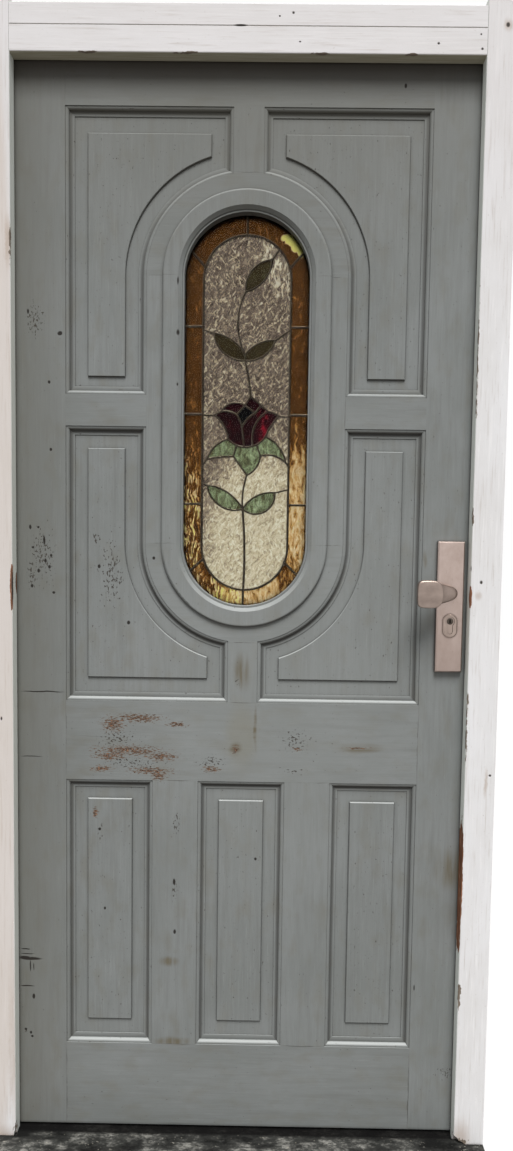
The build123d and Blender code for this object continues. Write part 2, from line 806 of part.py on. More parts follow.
with BuildPart() as ring_stave_lock:
    with BuildSketch(plan(ring_low)):
        add(ring_section.sketch)
    extrude(amount=ring_straight)
    cut_through(mitre_gap(ring_radius, 1, cross_low, cross_high))
    cross_mortise_x = (ring_radius - short_tenon_length - mortise_play, ring_radius)
    stub(cross_mortise_x, cross_tenon_z, Mode.SUBTRACT)

with BuildPart() as ring_stave_hinge:
    mirror(ring_stave_lock.part, about=Plane.YZ)


def half_ring(centre, up):
    """Half of the oval's timber, with the moulding left out where a muntin stands on it."""
    with BuildSketch(plan(centre)) as start:
        add(ring_section.sketch)
    revolve(start.sketch, axis=Axis((0, 0, centre), (0, -up, 0)), revolution_arc=180)
    with BuildSketch() as seat:
        corners = [(half_muntin, seat_rise), (mitre_x, mitre_rise), (mitre_x, 2 * mitre_radius)]
        mirrored = [(-x, y) for x, y in reversed(corners)]
        add(closed_shape([(x, centre + up * y) for x, y in corners + mirrored]))
        with Locations((0, centre)):
            Circle(ring_radius, mode=Mode.SUBTRACT)
    cut_through(seat.sketch)


with BuildPart() as ring_arch_top:
    half_ring(ring_high, 1)

with BuildPart() as ring_arch_bottom:
    half_ring(ring_low, -1)

# Panels beside the oval
with BuildPart() as panel_upper_lock:
    top = top_rail_low - panel_play
    blank = beside_oval(ring_high, 1, panel_play, panel_play, top, cross_high + panel_play)
    low = cross_high + moulding_width + upper_margins[0]
    high = top_rail_low - moulding_width - upper_margins[1]
    fielded_panel(blank, beside_oval(ring_high, 1, field_inset, field_inset, high, low))

with BuildPart() as panel_upper_hinge:
    mirror(panel_upper_lock.part, about=Plane.YZ)

with BuildPart() as panel_middle_lock:
    top = cross_low - panel_play
    blank = beside_oval(ring_low, -1, panel_play, panel_play, lock_high + panel_play, top)
    low = lock_high + moulding_width + middle_margins[0]
    high = cross_low - moulding_width - middle_margins[1]
    fielded_panel(blank, beside_oval(ring_low, -1, field_inset, field_inset, low, high))

with BuildPart() as panel_middle_hinge:
    mirror(panel_middle_lock.part, about=Plane.YZ)


def low_panel(left, right):
    """Lower panel between two edges of its opening."""
    blank = (left + panel_play, right - panel_play, bottom_rail_top + panel_play, lock_low - panel_play)
    low = bottom_rail_top + moulding_width + low_margins[0]
    high = lock_low - moulding_width - low_margins[1]
    fielded_panel(rectangle(*blank), rectangle(left + field_inset, right - field_inset, low, high))


# Lower panels
with BuildPart() as panel_low_hinge:
    low_panel(-panel_edge, -low_outer)

with BuildPart() as panel_low_centre:
    low_panel(-low_inner, low_inner)

with BuildPart() as panel_low_lock:
    low_panel(low_outer, panel_edge)

# Raised band round the glass, outside: a rounded outer edge and a sloping, rounded inner edge
band_inner_radius = sight_radius + band_setback
band_outer = band_inner_radius + band_width
with BuildSketch() as band_section:
    with BuildLine():
        bulge = band_round * (1 - math.sin(math.pi / 4))
        ThreePointArc(
            (band_outer, band_round - band_proud),
            (band_outer - bulge, bulge - band_proud),
            (band_outer - band_round, -band_proud),
        )
        Polyline(
            (band_outer - band_round, -band_proud),
            (band_inner_radius + band_proud, -band_proud),
            (band_inner_radius, -band_proud / 4),
            (band_inner_radius, 0),
            (band_outer, 0),
            (band_outer, band_round - band_proud),
        )
    make_face()

with BuildPart() as glazing_band_outside:
    oval_loop(band_section.sketch)

# Glazing bead indoors: it fills the rebate behind the glass and laps over the timber
bead_inner_radius = sight_radius - bead_overhang
bead_outer_radius = rebate_radius + bead_lap
with BuildSketch() as bead_section:
    add(rectangle(bead_inner_radius, rebate_radius, came_back, leaf_thickness))
    with BuildLine():
        bead_top = leaf_thickness + bead_proud
        Polyline(
            (bead_outer_radius, leaf_thickness),
            (bead_inner_radius, leaf_thickness),
            (bead_inner_radius, bead_top - band_round),
            (bead_inner_radius + band_round, bead_top),
            (bead_outer_radius - band_round, bead_top),
        )
        ThreePointArc(
            (bead_outer_radius - band_round, bead_top),
            (bead_outer_radius - bulge, bead_top - bulge),
            (bead_outer_radius, bead_top - band_round),
        )
        Line((bead_outer_radius, bead_top - band_round), (bead_outer_radius, leaf_thickness))
    make_face()

with BuildPart() as glazing_bead_inside:
    oval_loop(bead_section.sketch)

# Clear pane behind the front stop
with BuildPart() as clear_pane:
    raise_from(stadium(panel_radius), front_stop + clear_pane_thickness, front_stop)

# Leaded light: the lead follows these strokes, straight between two points or arcs through three, each point
# given across and up from the middle of a panel of the drawn radius and straight length
top_leaf = [((-3, 235), (5, 271), (48, 296.5)), ((48, 296.5), (31.5, 256), (-3, 235))]
high_leaves = [
    [
        ((-64.5, 155), (-31, 143.5), (-3, 114)),
        ((-3, 114), (-3, 102.5)),
        ((-3, 102.5), (-41, 114), (-64.5, 155)),
    ],
    [
        ((-3, 114), (21.5, 135.5), (56.5, 142.5)),
        ((56.5, 142.5), (35, 113.5), (-3, 102.5)),
        ((-3, 102.5), (-3, 114)),
    ],
]
low_leaves = [
    [((-75, -140.5), (-32.5, -156), (-4.5, -187)), ((-4.5, -187), (-48, -182), (-75, -140.5))],
    [((-4.5, -187), (25.5, -159.5), (59, -154)), ((59, -154), (33, -194.5), (-4.5, -187))],
]
calyx_root = ((-15, -52), (18.5, -52))  # points behind the flower, where no lead shows
sepals = [
    [
        ((-34.5, -50), (-62, -66), (-76, -89.5)),
        ((-76, -89.5), (-51.5, -85), (-24, -83.5)),
        ((-24, -83.5), (-15, -52)),
        ((-15, -52), (-34.5, -50)),
    ],
    [
        ((39, -44.5), (64, -62), (79.5, -94.5)),
        ((79.5, -94.5), (57, -81.5), (29.5, -82)),
        ((29.5, -82), (18.5, -52)),
        ((18.5, -52), (39, -44.5)),
    ],
]
calyx = [
    ((-24, -83.5), (-12, -99.5), (3, -120)),
    ((3, -120), (23.5, -101.5), (29.5, -82)),
    ((29.5, -82), (18.5, -52)),
    ((18.5, -52), (-15, -52)),
    ((-15, -52), (-24, -83.5)),
]
flower = [
    ((-62, -4), (-55.5, 0.5), (-48.5, 3.5)),
    ((-48.5, 3.5), (-24, 21), (-2, 16)),
    ((-2, 16), (8.5, 34.5)),
    ((8.5, 34.5), (43, 5)),
    ((43, 5), (55, 2), (65, -4)),
    ((65, -4), (51, -21.5), (39, -44.5)),
    ((39, -44.5), (0, -65.5), (-34.5, -50)),
    ((-34.5, -50), (-44.5, -21.5), (-62, -4)),
]
heart = [
    ((-2, 16), (-18.5, -2.5)),
    ((-18.5, -2.5), (-11.5, -13.5), (-7, -27.5)),
    ((-7, -27.5), (3, -10), (18.5, 1.5)),
    ((18.5, 1.5), (-2, 16)),
]
petal_cames = [
    ((-48.5, 3.5), (-42.5, 4.5), (-36.5, 4)),
    ((-36.5, 4), (-27, 2), (-18.5, -2.5)),
    ((29.5, 16.5), (18.5, 1.5)),
    ((43, 5), (23.5, -13), (14.5, -62)),
    ((-7, -27.5), (-3, -63)),
]
stems = [
    ((-3, 235), (-18, 181), (-3, 114)),
    ((-3, 102.5), (4, 71), (8.5, 34.5)),
    ((3, -120), (-4, -150.5), (-4.5, -187)),
]
border_end = drawn_straight / 2 + drawn_border
panel_end = drawn_straight / 2 + drawn_radius - came_width / 2
ties = [
    ((48, 296.5), (60.5, 315)),
    ((-64.5, 155), (-drawn_border, 161.5)),
    ((56.5, 142.5), (drawn_border, 163)),
    ((-62, -4), (-drawn_border, -3.5)),
    ((65, -4), (drawn_border, -5)),
    ((-76, -89.5), (-drawn_border, -102.5)),
    ((79.5, -94.5), (drawn_border, -102)),
    ((-75, -140.5), (-drawn_border, -138)),
    ((59, -154), (drawn_border, -147.5)),
]
border_joints = [
    ((-1, border_end), (-1, panel_end)),
    ((-1.5, -border_end - border_drop), (-2, -panel_end)),
    ((-82, 280.5), (-113.5, 316)),
    ((83, 281), (114, 315.5)),
    ((-82, -287), (-113.5, -316)),
    ((79.5, -291), (110, -322)),
]
for up in (167.5, -2, -178):
    for side in (-1, 1):
        border_joints.append(((side * drawn_border, up), (side * (drawn_radius - came_width / 2), up)))
low_stem = ((-4.5, -187), (0, -262), (-1.5, -border_end - border_drop))


def placed(stroke):
    """Points of a drawn stroke in the plane of the leaf: its height follows the oval's straight sides, and
    its width and the round ends follow the oval's radius."""
    widening = panel_radius / drawn_radius
    half_drawn = drawn_straight / 2
    points = []
    for x, up in stroke:
        past_end = max(abs(up) - half_drawn, 0)
        straight = (abs(up) - past_end) * ring_straight / drawn_straight
        rise = math.copysign(straight + past_end * widening, up)
        points.append((x * widening, ring_middle + rise))
    return points


def pane_shape(outline):
    """Flat shape inside a closed run of strokes."""
    with BuildSketch() as shape:
        with BuildLine():
            for stroke in outline:
                if len(stroke) == 3:
                    ThreePointArc(*placed(stroke))
                else:
                    Line(*placed(stroke))
        make_face()
    return shape.sketch


def came(stroke, width):
    """Lead along one stroke, with a blob of solder at each end."""
    with BuildSketch() as strip:
        with BuildLine() as path:
            if len(stroke) == 3:
                ThreePointArc(*placed(stroke))
            else:
                Line(*placed(stroke))
        trace(path.line, width)
        for end in placed((stroke[0], stroke[-1])):
            with Locations(end):
                Circle(width / 2 + solder_margin)
    return strip.sketch


def border_oval(margin):
    """Oval at a margin outside or inside the came between the amber border and the rest."""
    with BuildSketch() as oval:
        with Locations((0, ring_middle - border_drop / 2)):
            border_radius = drawn_border * panel_radius / drawn_radius + margin
            SlotCenterToCenter(ring_straight + border_drop, 2 * border_radius, rotation=90)
    return oval.sketch


green_shapes = [top_leaf, *high_leaves, *low_leaves, *sepals, calyx]
thin_strokes = {stroke for shape in (*green_shapes, flower, heart) for stroke in shape}
hidden_strokes = {stroke for stroke in thin_strokes if {stroke[0], stroke[-1]} & set(calyx_root)}
calyx_joints = [((-24, -83.5), (-18, -62.5)), ((29.5, -82), (22, -61.5))]
thin_strokes = [*sorted(thin_strokes - hidden_strokes), *petal_cames, *stems, *ties, *calyx_joints]

with BuildSketch() as came_network:
    add(stadium(panel_radius))
    add(stadium(panel_radius - came_width), mode=Mode.SUBTRACT)
    add(border_oval(came_width / 2))
    add(border_oval(-came_width / 2), mode=Mode.SUBTRACT)
    for stroke in [*border_joints, low_stem]:
        add(came(stroke, came_width))
    for stroke in thin_strokes:
        add(came(stroke, thin_came_width))

with BuildPart() as lead_cames:
    raise_from(came_network.sketch, came_back, came_back - came_thickness)


def coloured_glass(shapes, left_out=()):
    """Glass pieces in the given shapes, cut apart by the lead."""
    with BuildSketch() as pieces:
        for shape in shapes:
            add(shape)
        for shape in left_out:
            add(shape, mode=Mode.SUBTRACT)
        add(came_network.sketch, mode=Mode.SUBTRACT)
    front = came_back - (came_thickness + coloured_glass_thickness) / 2
    raise_from(pieces.sketch, front + coloured_glass_thickness, front)


green_faces = [pane_shape(outline) for outline in green_shapes]
flower_face = pane_shape(flower)
heart_face = pane_shape(heart)

with BuildPart() as glass_amber:
    coloured_glass([stadium(panel_radius - came_width / 2)], [border_oval(0)])

with BuildPart() as glass_clear:
    coloured_glass([border_oval(0)], [*green_faces, flower_face])

with BuildPart() as glass_green:
    coloured_glass(green_faces, [flower_face])

with BuildPart() as glass_red:
    coloured_glass([flower_face], [heart_face])

with BuildPart() as glass_dark:
    coloured_glass([heart_face])

# Lock case: a steel box open to its front, bored for the follower, the cylinder and the through bolts
inner_x = (case_x[0] + case_wall, case_x[1])
inner_y = (case_y[0] + case_wall, case_y[1] - case_wall)
inner_z = (case_z[0] + case_wall, case_z[1] - case_wall)
with BuildPart() as lock_case:
    block(case_x, case_y, case_z)
    block(inner_x, inner_y, inner_z, Mode.SUBTRACT)
    boss_hole = follower_boss_radius + lever_clearance
    rod((lock_x, case_y[0], spindle_z), (lock_x, case_y[1], spindle_z), boss_hole, Mode.SUBTRACT)
    cut_through(euro_profile(cylinder_clearance))

# Faceplate with the openings for both bolts
with BuildPart() as lock_faceplate:
    block((case_front, half_leaf), faceplate_y, faceplate_z)
    slot_y = (bolt_y[0] - bolt_clearance, bolt_y[1] + bolt_clearance)
    for z, height, throw in bolt_rows:
        slot_z = (z - height / 2 - bolt_clearance, z + height / 2 + bolt_clearance)
        block((case_front, half_leaf), slot_y, slot_z, Mode.SUBTRACT)
    for z in faceplate_screw_rows:
        screw((half_leaf, mid_depth, z), (-1, 0, 0), Mode.SUBTRACT)
    rod((case_front, mid_depth, screw_z), (half_leaf, mid_depth, screw_z), key_screw_radius, Mode.SUBTRACT)

# Screws of the faceplate and the long one that holds the cylinder
with BuildPart() as lock_screws:
    for z in faceplate_screw_rows:
        screw((half_leaf, mid_depth, z), (-1, 0, 0))
    rod((lock_x, mid_depth, screw_z), (half_leaf, mid_depth, screw_z), key_screw_radius)

# Latch bolt and deadbolt, both drawn back flush with the faceplate
with BuildPart() as latch_bolt:
    latch_z = (spindle_z - latch_height / 2, spindle_z + latch_height / 2)
    block((half_leaf - latch_length, half_leaf), bolt_y, latch_z)
    nose = edges().filter_by(Axis.Z).group_by(Axis.X)[-1].sort_by(Axis.Y)[0]
    chamfer(nose, bolt_thickness * 0.7)

with BuildPart() as deadbolt:
    deadbolt_z = (cylinder_z - deadbolt_height / 2, cylinder_z + deadbolt_height / 2)
    block((half_leaf - deadbolt_length, half_leaf), bolt_y, deadbolt_z)

# Key cylinder: body, cam and the two plugs
cylinder_outside = plate_face - guard_proud + 1.5
cylinder_inside = inside_face + 2.0
slot_low = mid_depth - cam_slot / 2
slot_high = mid_depth + cam_slot / 2
with BuildPart() as cylinder_body:
    raise_from(euro_profile(), cylinder_inside, cylinder_outside)
    reach = cam_radius + cam_clearance
    slot_z = (cylinder_z - reach, cylinder_z + reach)
    block((lock_x - reach, lock_x + reach), (slot_low, slot_high), slot_z, Mode.SUBTRACT)
    bore = plug_radius + running_clearance
    rod((lock_x, cylinder_outside, cylinder_z), (lock_x, cylinder_inside, cylinder_z), bore, Mode.SUBTRACT)
    web_side = lock_x + web_width
    rod((lock_x, mid_depth, screw_z), (web_side, mid_depth, screw_z), key_screw_radius, Mode.SUBTRACT)


def plug(face, back, keyway_end):
    """Turning plug with its keyway, from its face to its inner end."""
    rod((lock_x, face, cylinder_z), (lock_x, back, cylinder_z), plug_radius)
    slot_z = (cylinder_z - keyway_height / 2, cylinder_z + keyway_height / 2)
    slot_x = (lock_x - keyway_width / 2, lock_x + keyway_width / 2)
    block(slot_x, sorted((face, keyway_end)), slot_z, Mode.SUBTRACT)


cam_half = (cam_slot - 2 * cam_clearance) / 2
with BuildPart() as cylinder_plug_outside:
    plug(cylinder_outside, mid_depth - cam_half, cylinder_outside + keyway_depth)

with BuildPart() as cylinder_plug_inside:
    plug(cylinder_inside, mid_depth + cam_half + cam_clearance / 2, cylinder_inside - keyway_depth)

with BuildPart() as cylinder_cam:
    rod((lock_x, mid_depth - cam_half, cylinder_z), (lock_x, mid_depth + cam_half, cylinder_z), barrel_radius)
    cam_z = (cylinder_z, cylinder_z + cam_radius - 1.0)
    block((lock_x - 3.5, lock_x + 3.5), (mid_depth - cam_half, mid_depth + cam_half), cam_z)

# Outside security plate with bevelled edges
plate_x = (lock_x - plate_width / 2, lock_x + plate_width / 2)
plate_z = (lock_middle - plate_height / 2, lock_middle + plate_height / 2)
with BuildSketch() as guard_outline:
    with Locations((lock_x, cylinder_z - guard_spacing / 2)):
        SlotCenterToCenter(guard_spacing, guard_width, rotation=90)

with BuildPart() as plate_outside:
    block(plate_x, (plate_face, 0), plate_z)
    chamfer(faces().sort_by(Axis.Y)[0].edges(), outside_plate_bevel)
    with BuildSketch(wall(0)) as opening:
        add(guard_outline.sketch)
    extrude(opening.sketch, amount=outside_plate_thickness, dir=(0, -1, 0), mode=Mode.SUBTRACT)
    for z in plate_bolt_rows:
        rod((lock_x, 0, z), (lock_x, plate_face + 3.0, z), plate_bolt_radius, Mode.SUBTRACT)

# Steel guard round the cylinder
with BuildPart() as cylinder_guard:
    raise_from(guard_outline.sketch, 0, plate_face - guard_proud)
    chamfer(faces().sort_by(Axis.Y)[0].edges(), 1.5)
    with BuildSketch(wall(0)) as opening:
        add(euro_profile(cylinder_clearance))
    extrude(opening.sketch, amount=outside_plate_thickness + guard_proud, dir=(0, -1, 0), mode=Mode.SUBTRACT)

# Fixed knob outside: a round neck that flares sideways into a rounded square pad
pad_x = lock_x - knob_offset
pad_back = -knob_reach + knob_thickness
neck_end = plate_face - 14.0
with BuildPart() as knob_outside:
    rod((lock_x, plate_face, spindle_z), (lock_x, neck_end, spindle_z), knob_neck_radius)
    with BuildSketch(Plane(origin=(lock_x, neck_end, spindle_z), x_dir=(1, 0, 0), z_dir=(0, -1, 0))):
        Circle(knob_neck_radius)
    with BuildSketch(Plane(origin=(pad_x, pad_back, spindle_z), x_dir=(1, 0, 0), z_dir=(0, -1, 0))):
        RectangleRounded(knob_width - 4, knob_height - 4, knob_corner - 2)
    loft()
    with BuildSketch(Plane(origin=(pad_x, pad_back, spindle_z), x_dir=(1, 0, 0), z_dir=(0, -1, 0))):
        RectangleRounded(knob_width, knob_height, knob_corner)
    extrude(amount=knob_thickness)
    fillet(faces().sort_by(Axis.Y)[0].edges(), 2.5)

# Inside plate
with BuildPart() as plate_inside:
    block(plate_x, (leaf_thickness, inside_face), plate_z)
    chamfer(faces().sort_by(Axis.Y)[-1].edges(), 1.5)
    neck_hole = lever_neck_radius + lever_clearance
    rod((lock_x, leaf_thickness, spindle_z), (lock_x, inside_face, spindle_z), neck_hole, Mode.SUBTRACT)
    with BuildSketch(wall(inside_face)) as opening:
        add(euro_profile(cylinder_clearance))
    extrude(opening.sketch, amount=inside_plate_thickness, dir=(0, -1, 0), mode=Mode.SUBTRACT)
    for z in plate_bolt_rows:
        rod((lock_x, leaf_thickness, z), (lock_x, inside_face, z), plate_bolt_radius, Mode.SUBTRACT)

with BuildPart() as plate_bolts:
    for z in plate_bolt_rows:
        rod((lock_x, plate_face + 3.0, z), (lock_x, inside_face, z), plate_bolt_radius)
        rod((lock_x, inside_face, z), (lock_x, inside_face + 2.0, z), 2 * plate_bolt_radius)

# Inside lever with its square spindle and the follower in the lock
spindle_x = (lock_x - spindle_size / 2, lock_x + spindle_size / 2)
spindle_square = (spindle_z - spindle_size / 2, spindle_z + spindle_size / 2)
with BuildPart() as lever_inside:
    rod((lock_x, leaf_thickness + 1.0, spindle_z), (lock_x, lever_y, spindle_z), lever_neck_radius)
    with BuildSketch(Plane(origin=(lock_x, lever_y, spindle_z), x_dir=(0, 1, 0), z_dir=(-1, 0, 0))):
        RectangleRounded(lever_thickness, lever_width, lever_thickness / 3)
    extrude(amount=lever_length)
    rod(
        (lock_x, lever_y - lever_thickness / 2, spindle_z),
        (lock_x, lever_y + lever_thickness / 2, spindle_z),
        lever_width / 2,
    )
    block(spindle_x, (leaf_thickness, lever_y - lever_thickness), spindle_square, Mode.SUBTRACT)

with BuildPart() as spindle:
    block(spindle_x, (inner_y[0], lever_y - lever_thickness), spindle_square)

with BuildPart() as follower:
    rod((lock_x, case_y[0], spindle_z), (lock_x, case_y[1], spindle_z), follower_boss_radius)
    follower_y = (inner_y[0] + bolt_clearance, inner_y[1] - bolt_clearance)
    rod((lock_x, follower_y[0], spindle_z), (lock_x, follower_y[1], spindle_z), follower_radius)
    block(spindle_x, (inner_y[0], case_y[1]), spindle_square, Mode.SUBTRACT)

pieces = {
    "threshold": threshold,
    "jamb_hinge": jamb_hinge,
    "jamb_lock": jamb_lock,
    "head_rail": head_rail,
    "head_board": head_board,
    "weather_seal": weather_seal,
    "strike_plate": strike_plate,
    "hinge_plates_frame": hinge_plates_frame,
    "frame_screws": frame_screws,
    "hinge_pins": hinge_pins,
    "hinge_plates_leaf": hinge_plates_leaf,
    "hinge_screws_leaf": hinge_screws_leaf,
    "stile_hinge": stile_hinge,
    "stile_lock": stile_lock,
    "top_rail": top_rail,
    "lock_rail": lock_rail,
    "bottom_rail": bottom_rail,
    "cross_rail_hinge": cross_rail_hinge,
    "cross_rail_lock": cross_rail_lock,
    "muntin_top": muntin_top,
    "muntin_middle": muntin_middle,
    "muntin_low_hinge": muntin_low_hinge,
    "muntin_low_lock": muntin_low_lock,
    "ring_stave_hinge": ring_stave_hinge,
    "ring_stave_lock": ring_stave_lock,
    "ring_arch_top": ring_arch_top,
    "ring_arch_bottom": ring_arch_bottom,
    "panel_upper_hinge": panel_upper_hinge,
    "panel_upper_lock": panel_upper_lock,
    "panel_middle_hinge": panel_middle_hinge,
    "panel_middle_lock": panel_middle_lock,
    "panel_low_hinge": panel_low_hinge,
    "panel_low_centre": panel_low_centre,
    "panel_low_lock": panel_low_lock,
    "glazing_band_outside": glazing_band_outside,
    "glazing_bead_inside": glazing_bead_inside,
    "clear_pane": clear_pane,
    "lead_cames": lead_cames,
    "glass_amber": glass_amber,
    "glass_clear": glass_clear,
    "glass_green": glass_green,
    "glass_red": glass_red,
    "glass_dark": glass_dark,
    "lock_case": lock_case,
    "lock_faceplate": lock_faceplate,
    "lock_screws": lock_screws,
    "latch_bolt": latch_bolt,
    "deadbolt": deadbolt,
    "cylinder_body": cylinder_body,
    "cylinder_plug_outside": cylinder_plug_outside,
    "cylinder_plug_inside": cylinder_plug_inside,
    "cylinder_cam": cylinder_cam,
    "plate_outside": plate_outside,
    "cylinder_guard": cylinder_guard,
    "knob_outside": knob_outside,
    "plate_inside": plate_inside,
    "plate_bolts": plate_bolts,
    "lever_inside": lever_inside,
    "spindle": spindle,
    "follower": follower,
}

os.makedirs("parts", exist_ok=True)
for name, piece in pieces.items():
    piece.part.label = name
    export_step(piece.part, f"parts/{name}.step")
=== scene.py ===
import math

import bpy
import numpy as np
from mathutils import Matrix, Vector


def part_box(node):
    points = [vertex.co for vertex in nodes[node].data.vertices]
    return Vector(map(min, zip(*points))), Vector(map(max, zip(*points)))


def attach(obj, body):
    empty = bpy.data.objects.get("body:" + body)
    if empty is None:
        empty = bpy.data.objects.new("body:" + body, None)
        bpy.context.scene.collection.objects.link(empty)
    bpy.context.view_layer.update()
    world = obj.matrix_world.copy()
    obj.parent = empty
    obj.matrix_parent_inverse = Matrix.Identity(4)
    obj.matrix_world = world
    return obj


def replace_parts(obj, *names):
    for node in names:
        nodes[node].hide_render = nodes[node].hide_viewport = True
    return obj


# Panelled front door with its frame. Metres, as in the frame: X along the doorway, +Y indoors, Z up.
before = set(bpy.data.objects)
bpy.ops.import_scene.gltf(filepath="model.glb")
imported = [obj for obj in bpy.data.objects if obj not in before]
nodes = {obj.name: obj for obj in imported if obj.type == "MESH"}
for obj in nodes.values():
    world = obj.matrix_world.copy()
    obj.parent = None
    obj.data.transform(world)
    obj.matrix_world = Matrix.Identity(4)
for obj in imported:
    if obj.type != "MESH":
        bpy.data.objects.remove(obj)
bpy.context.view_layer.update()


# Helpers


def linear(code):
    """An sRGB hex colour as the linear colour that a shader reads."""
    parts = [int(code[i : i + 2], 16) / 255 for i in (0, 2, 4)]
    return (*[p / 12.92 if p <= 0.04045 else ((p + 0.055) / 1.055) ** 2.4 for p in parts], 1.0)


def every(size):
    """The scale at which a pattern repeats about every so many millimetres."""
    return 1000.0 / size


def add(tree, kind, sockets=None, **settings):
    """Adds a node, sets it up, and gives each named socket a value, or a link where the value is a node or a
    node and the name of one of its outputs. A name finds the first socket in use that bears it."""
    made = tree.nodes.new("ShaderNode" + kind)
    for name, value in settings.items():
        setattr(made, name, value)
    for name, value in (sockets or {}).items():
        if isinstance(name, int):
            socket = made.inputs[name]
        else:
            socket = next(s for s in made.inputs if s.name == name and s.enabled)
        if isinstance(value, bpy.types.Node):
            value = (value, None)
        if isinstance(value, tuple) and isinstance(value[0], bpy.types.Node):
            outputs = value[0].outputs
            tree.links.new(next(s for s in outputs if s.enabled and value[1] in (None, s.name)), socket)
        else:
            socket.default_value = value
    return made


def new_finish(name):
    """An empty material and its tree, with the place on the object in metres."""
    made = bpy.data.materials.new(name)
    made.use_nodes = True
    tree = made.node_tree
    tree.nodes.clear()
    return made, tree, (add(tree, "TexCoord"), "Object")


def surface(tree, sockets):
    """Ends a finish: the shader with these sockets, joined to the material's output."""
    add(tree, "OutputMaterial", {"Surface": add(tree, "BsdfPrincipled", sockets)})


def stretched(tree, place, size, along, run, **settings):
    """Noise that is size mm wide and run times as long along one axis."""
    scale = [1 / run if axis == along else 1.0 for axis in "xyz"]
    drawn = add(tree, "VectorMath", {0: place, 1: scale}, operation="MULTIPLY")
    return add(tree, "TexNoise", {"Vector": drawn, "Scale": every(size), "Detail": 3.0, **settings})


def strayed(tree, place, noise, reach):
    """The place moved to and fro by a noise, each way by up to half of reach, in metres."""
    wander = add(tree, "VectorMath", {0: (noise, "Color"), 1: (-0.5, -0.5, -0.5)}, operation="ADD")
    return add(tree, "VectorMath", {0: wander, 1: reach, 2: place}, operation="MULTIPLY_ADD")


def marks(tree, place, spots, solid=0.4, full=1.0):
    """full in the middle of each spot and 0 outside it. A spot is a centre and how far it reaches, in mm; a
    thin one is a crack. solid is the share of its reach over which it keeps its full strength."""
    nearest = None
    for centre, reach in spots:
        scale = [1000 / r for r in reach]
        moved = [-c / r for c, r in zip(centre, reach)]
        near = add(tree, "VectorMath", {0: place, 1: scale, 2: moved}, operation="MULTIPLY_ADD")
        far = add(tree, "VectorMath", {0: near}, operation="LENGTH")
        nearest = far if nearest is None else add(tree, "Math", {0: nearest, 1: far}, operation="MINIMUM")
    sockets = {"Value": (nearest, "Value"), "From Min": 1.0, "From Max": solid, "To Max": full}
    return add(tree, "MapRange", sockets, interpolation_type="SMOOTHSTEP")


def coats(tree, ground, rows):
    """Coats laid one after another over a ground colour. A row is a mask and the colour of its coat, or what
    the coat follows, its values where the coat is nil and where it is full, how much the full coat covers (a
    share or a mask) and its colour."""
    for follows, *span, colour in rows:
        if span:
            nil, full, cover = span
            sockets = {"Value": follows, "From Min": nil, "From Max": full, "To Max": cover}
            follows = add(tree, "MapRange", sockets)
        colour = linear(colour) if isinstance(colour, str) else colour
        ground = add(tree, "Mix", {"Factor": follows, "A": ground, "B": colour}, data_type="RGBA")
    return ground


def wear(names, finish):
    """Gives these nodes a finish."""
    for name in names.split():
        for slot in nodes[name].material_slots:
            slot.material = finish


def skin(name, rings, finish, body):
    """A closed surface through rings, an array of stations by points by 3 in mm: quads between neighbouring
    stations, and a fan from each end ring to its middle."""
    stations, around = rings.shape[:2]
    points = np.vstack([rings.reshape(-1, 3), rings[0].mean(axis=0), rings[-1].mean(axis=0)]) / 1000
    first = np.arange(stations - 1)[:, None] * around + np.arange(around)
    beside = np.arange(stations - 1)[:, None] * around + np.roll(np.arange(around), -1)
    quads = np.stack([first, beside, beside + around, first + around], axis=-1).reshape(-1, 4)
    ring = np.arange(around)
    after = np.roll(ring, -1)
    last = (stations - 1) * around
    low = np.stack([after, ring, np.full(around, stations * around)], axis=-1)
    high = np.stack([last + ring, last + after, np.full(around, stations * around + 1)], axis=-1)
    mesh = bpy.data.meshes.new(name)
    mesh.from_pydata(points.tolist(), [], quads.tolist() + low.tolist() + high.tolist())
    mesh.polygons.foreach_set("use_smooth", np.ones(len(mesh.polygons), dtype=bool))
    mesh.materials.append(finish)
    piece = bpy.data.objects.new(name, mesh)
    bpy.context.scene.collection.objects.link(piece)
    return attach(piece, body)


# Wear that the painted timber shows, in mm: middle and reach along X, Y and Z. CRACKS holds the single deep
# pits too

SCRAPES = [
    ((-258, 0, 890), (40, 14, 26)),
    ((-205, 0, 904), (80, 14, 15)),
    ((-130, 0, 891), (34, 14, 8)),
    ((-225, 0, 838), (110, 14, 18)),
    ((-262, 0, 826), (60, 14, 16)),
    ((-160, 0, 828), (60, 14, 14)),
    ((-180, 0, 797), (72, 14, 15)),
    ((-165, 0, 789), (32, 14, 20)),
    ((-280, 0, 801), (36, 14, 12)),
    ((-12, 0, 843), (12, 14, 15)),
    ((-60, 0, 802), (30, 14, 12)),
    ((110, 0, 846), (20, 14, 5)),
    ((232, 0, 850), (40, 14, 4)),
    ((-292, 8, 707), (10, 14, 18)),
]
DENTS = [
    ((106, 0, 863), (58, 14, 38)),
    ((103, 0, 800), (46, 14, 11)),
    ((-396, 0, 1228), (40, 14, 92)),
    ((-418, 0, 1190), (20, 14, 60)),
    ((-262, 8, 1190), (36, 14, 104)),
    ((-10, 0, 978), (10, 14, 24)),
    ((-132, 0, 555), (14, 14, 40)),
    ((-130, 0, 690), (14, 14, 40)),
    ((-434, 0, 251), (14, 14, 10)),
    ((-410, 0, 1680), (34, 14, 60)),
    ((423, 0, 179), (28, 14, 28)),
    ((-282, 8, 672), (10, 14, 30)),
    ((-250, 0, 862), (70, 14, 30)),
    ((-215, 0, 812), (110, 14, 20)),
    ((-60, 0, 818), (60, 14, 20)),
    ((-290, 8, 1262), (14, 14, 26)),
]
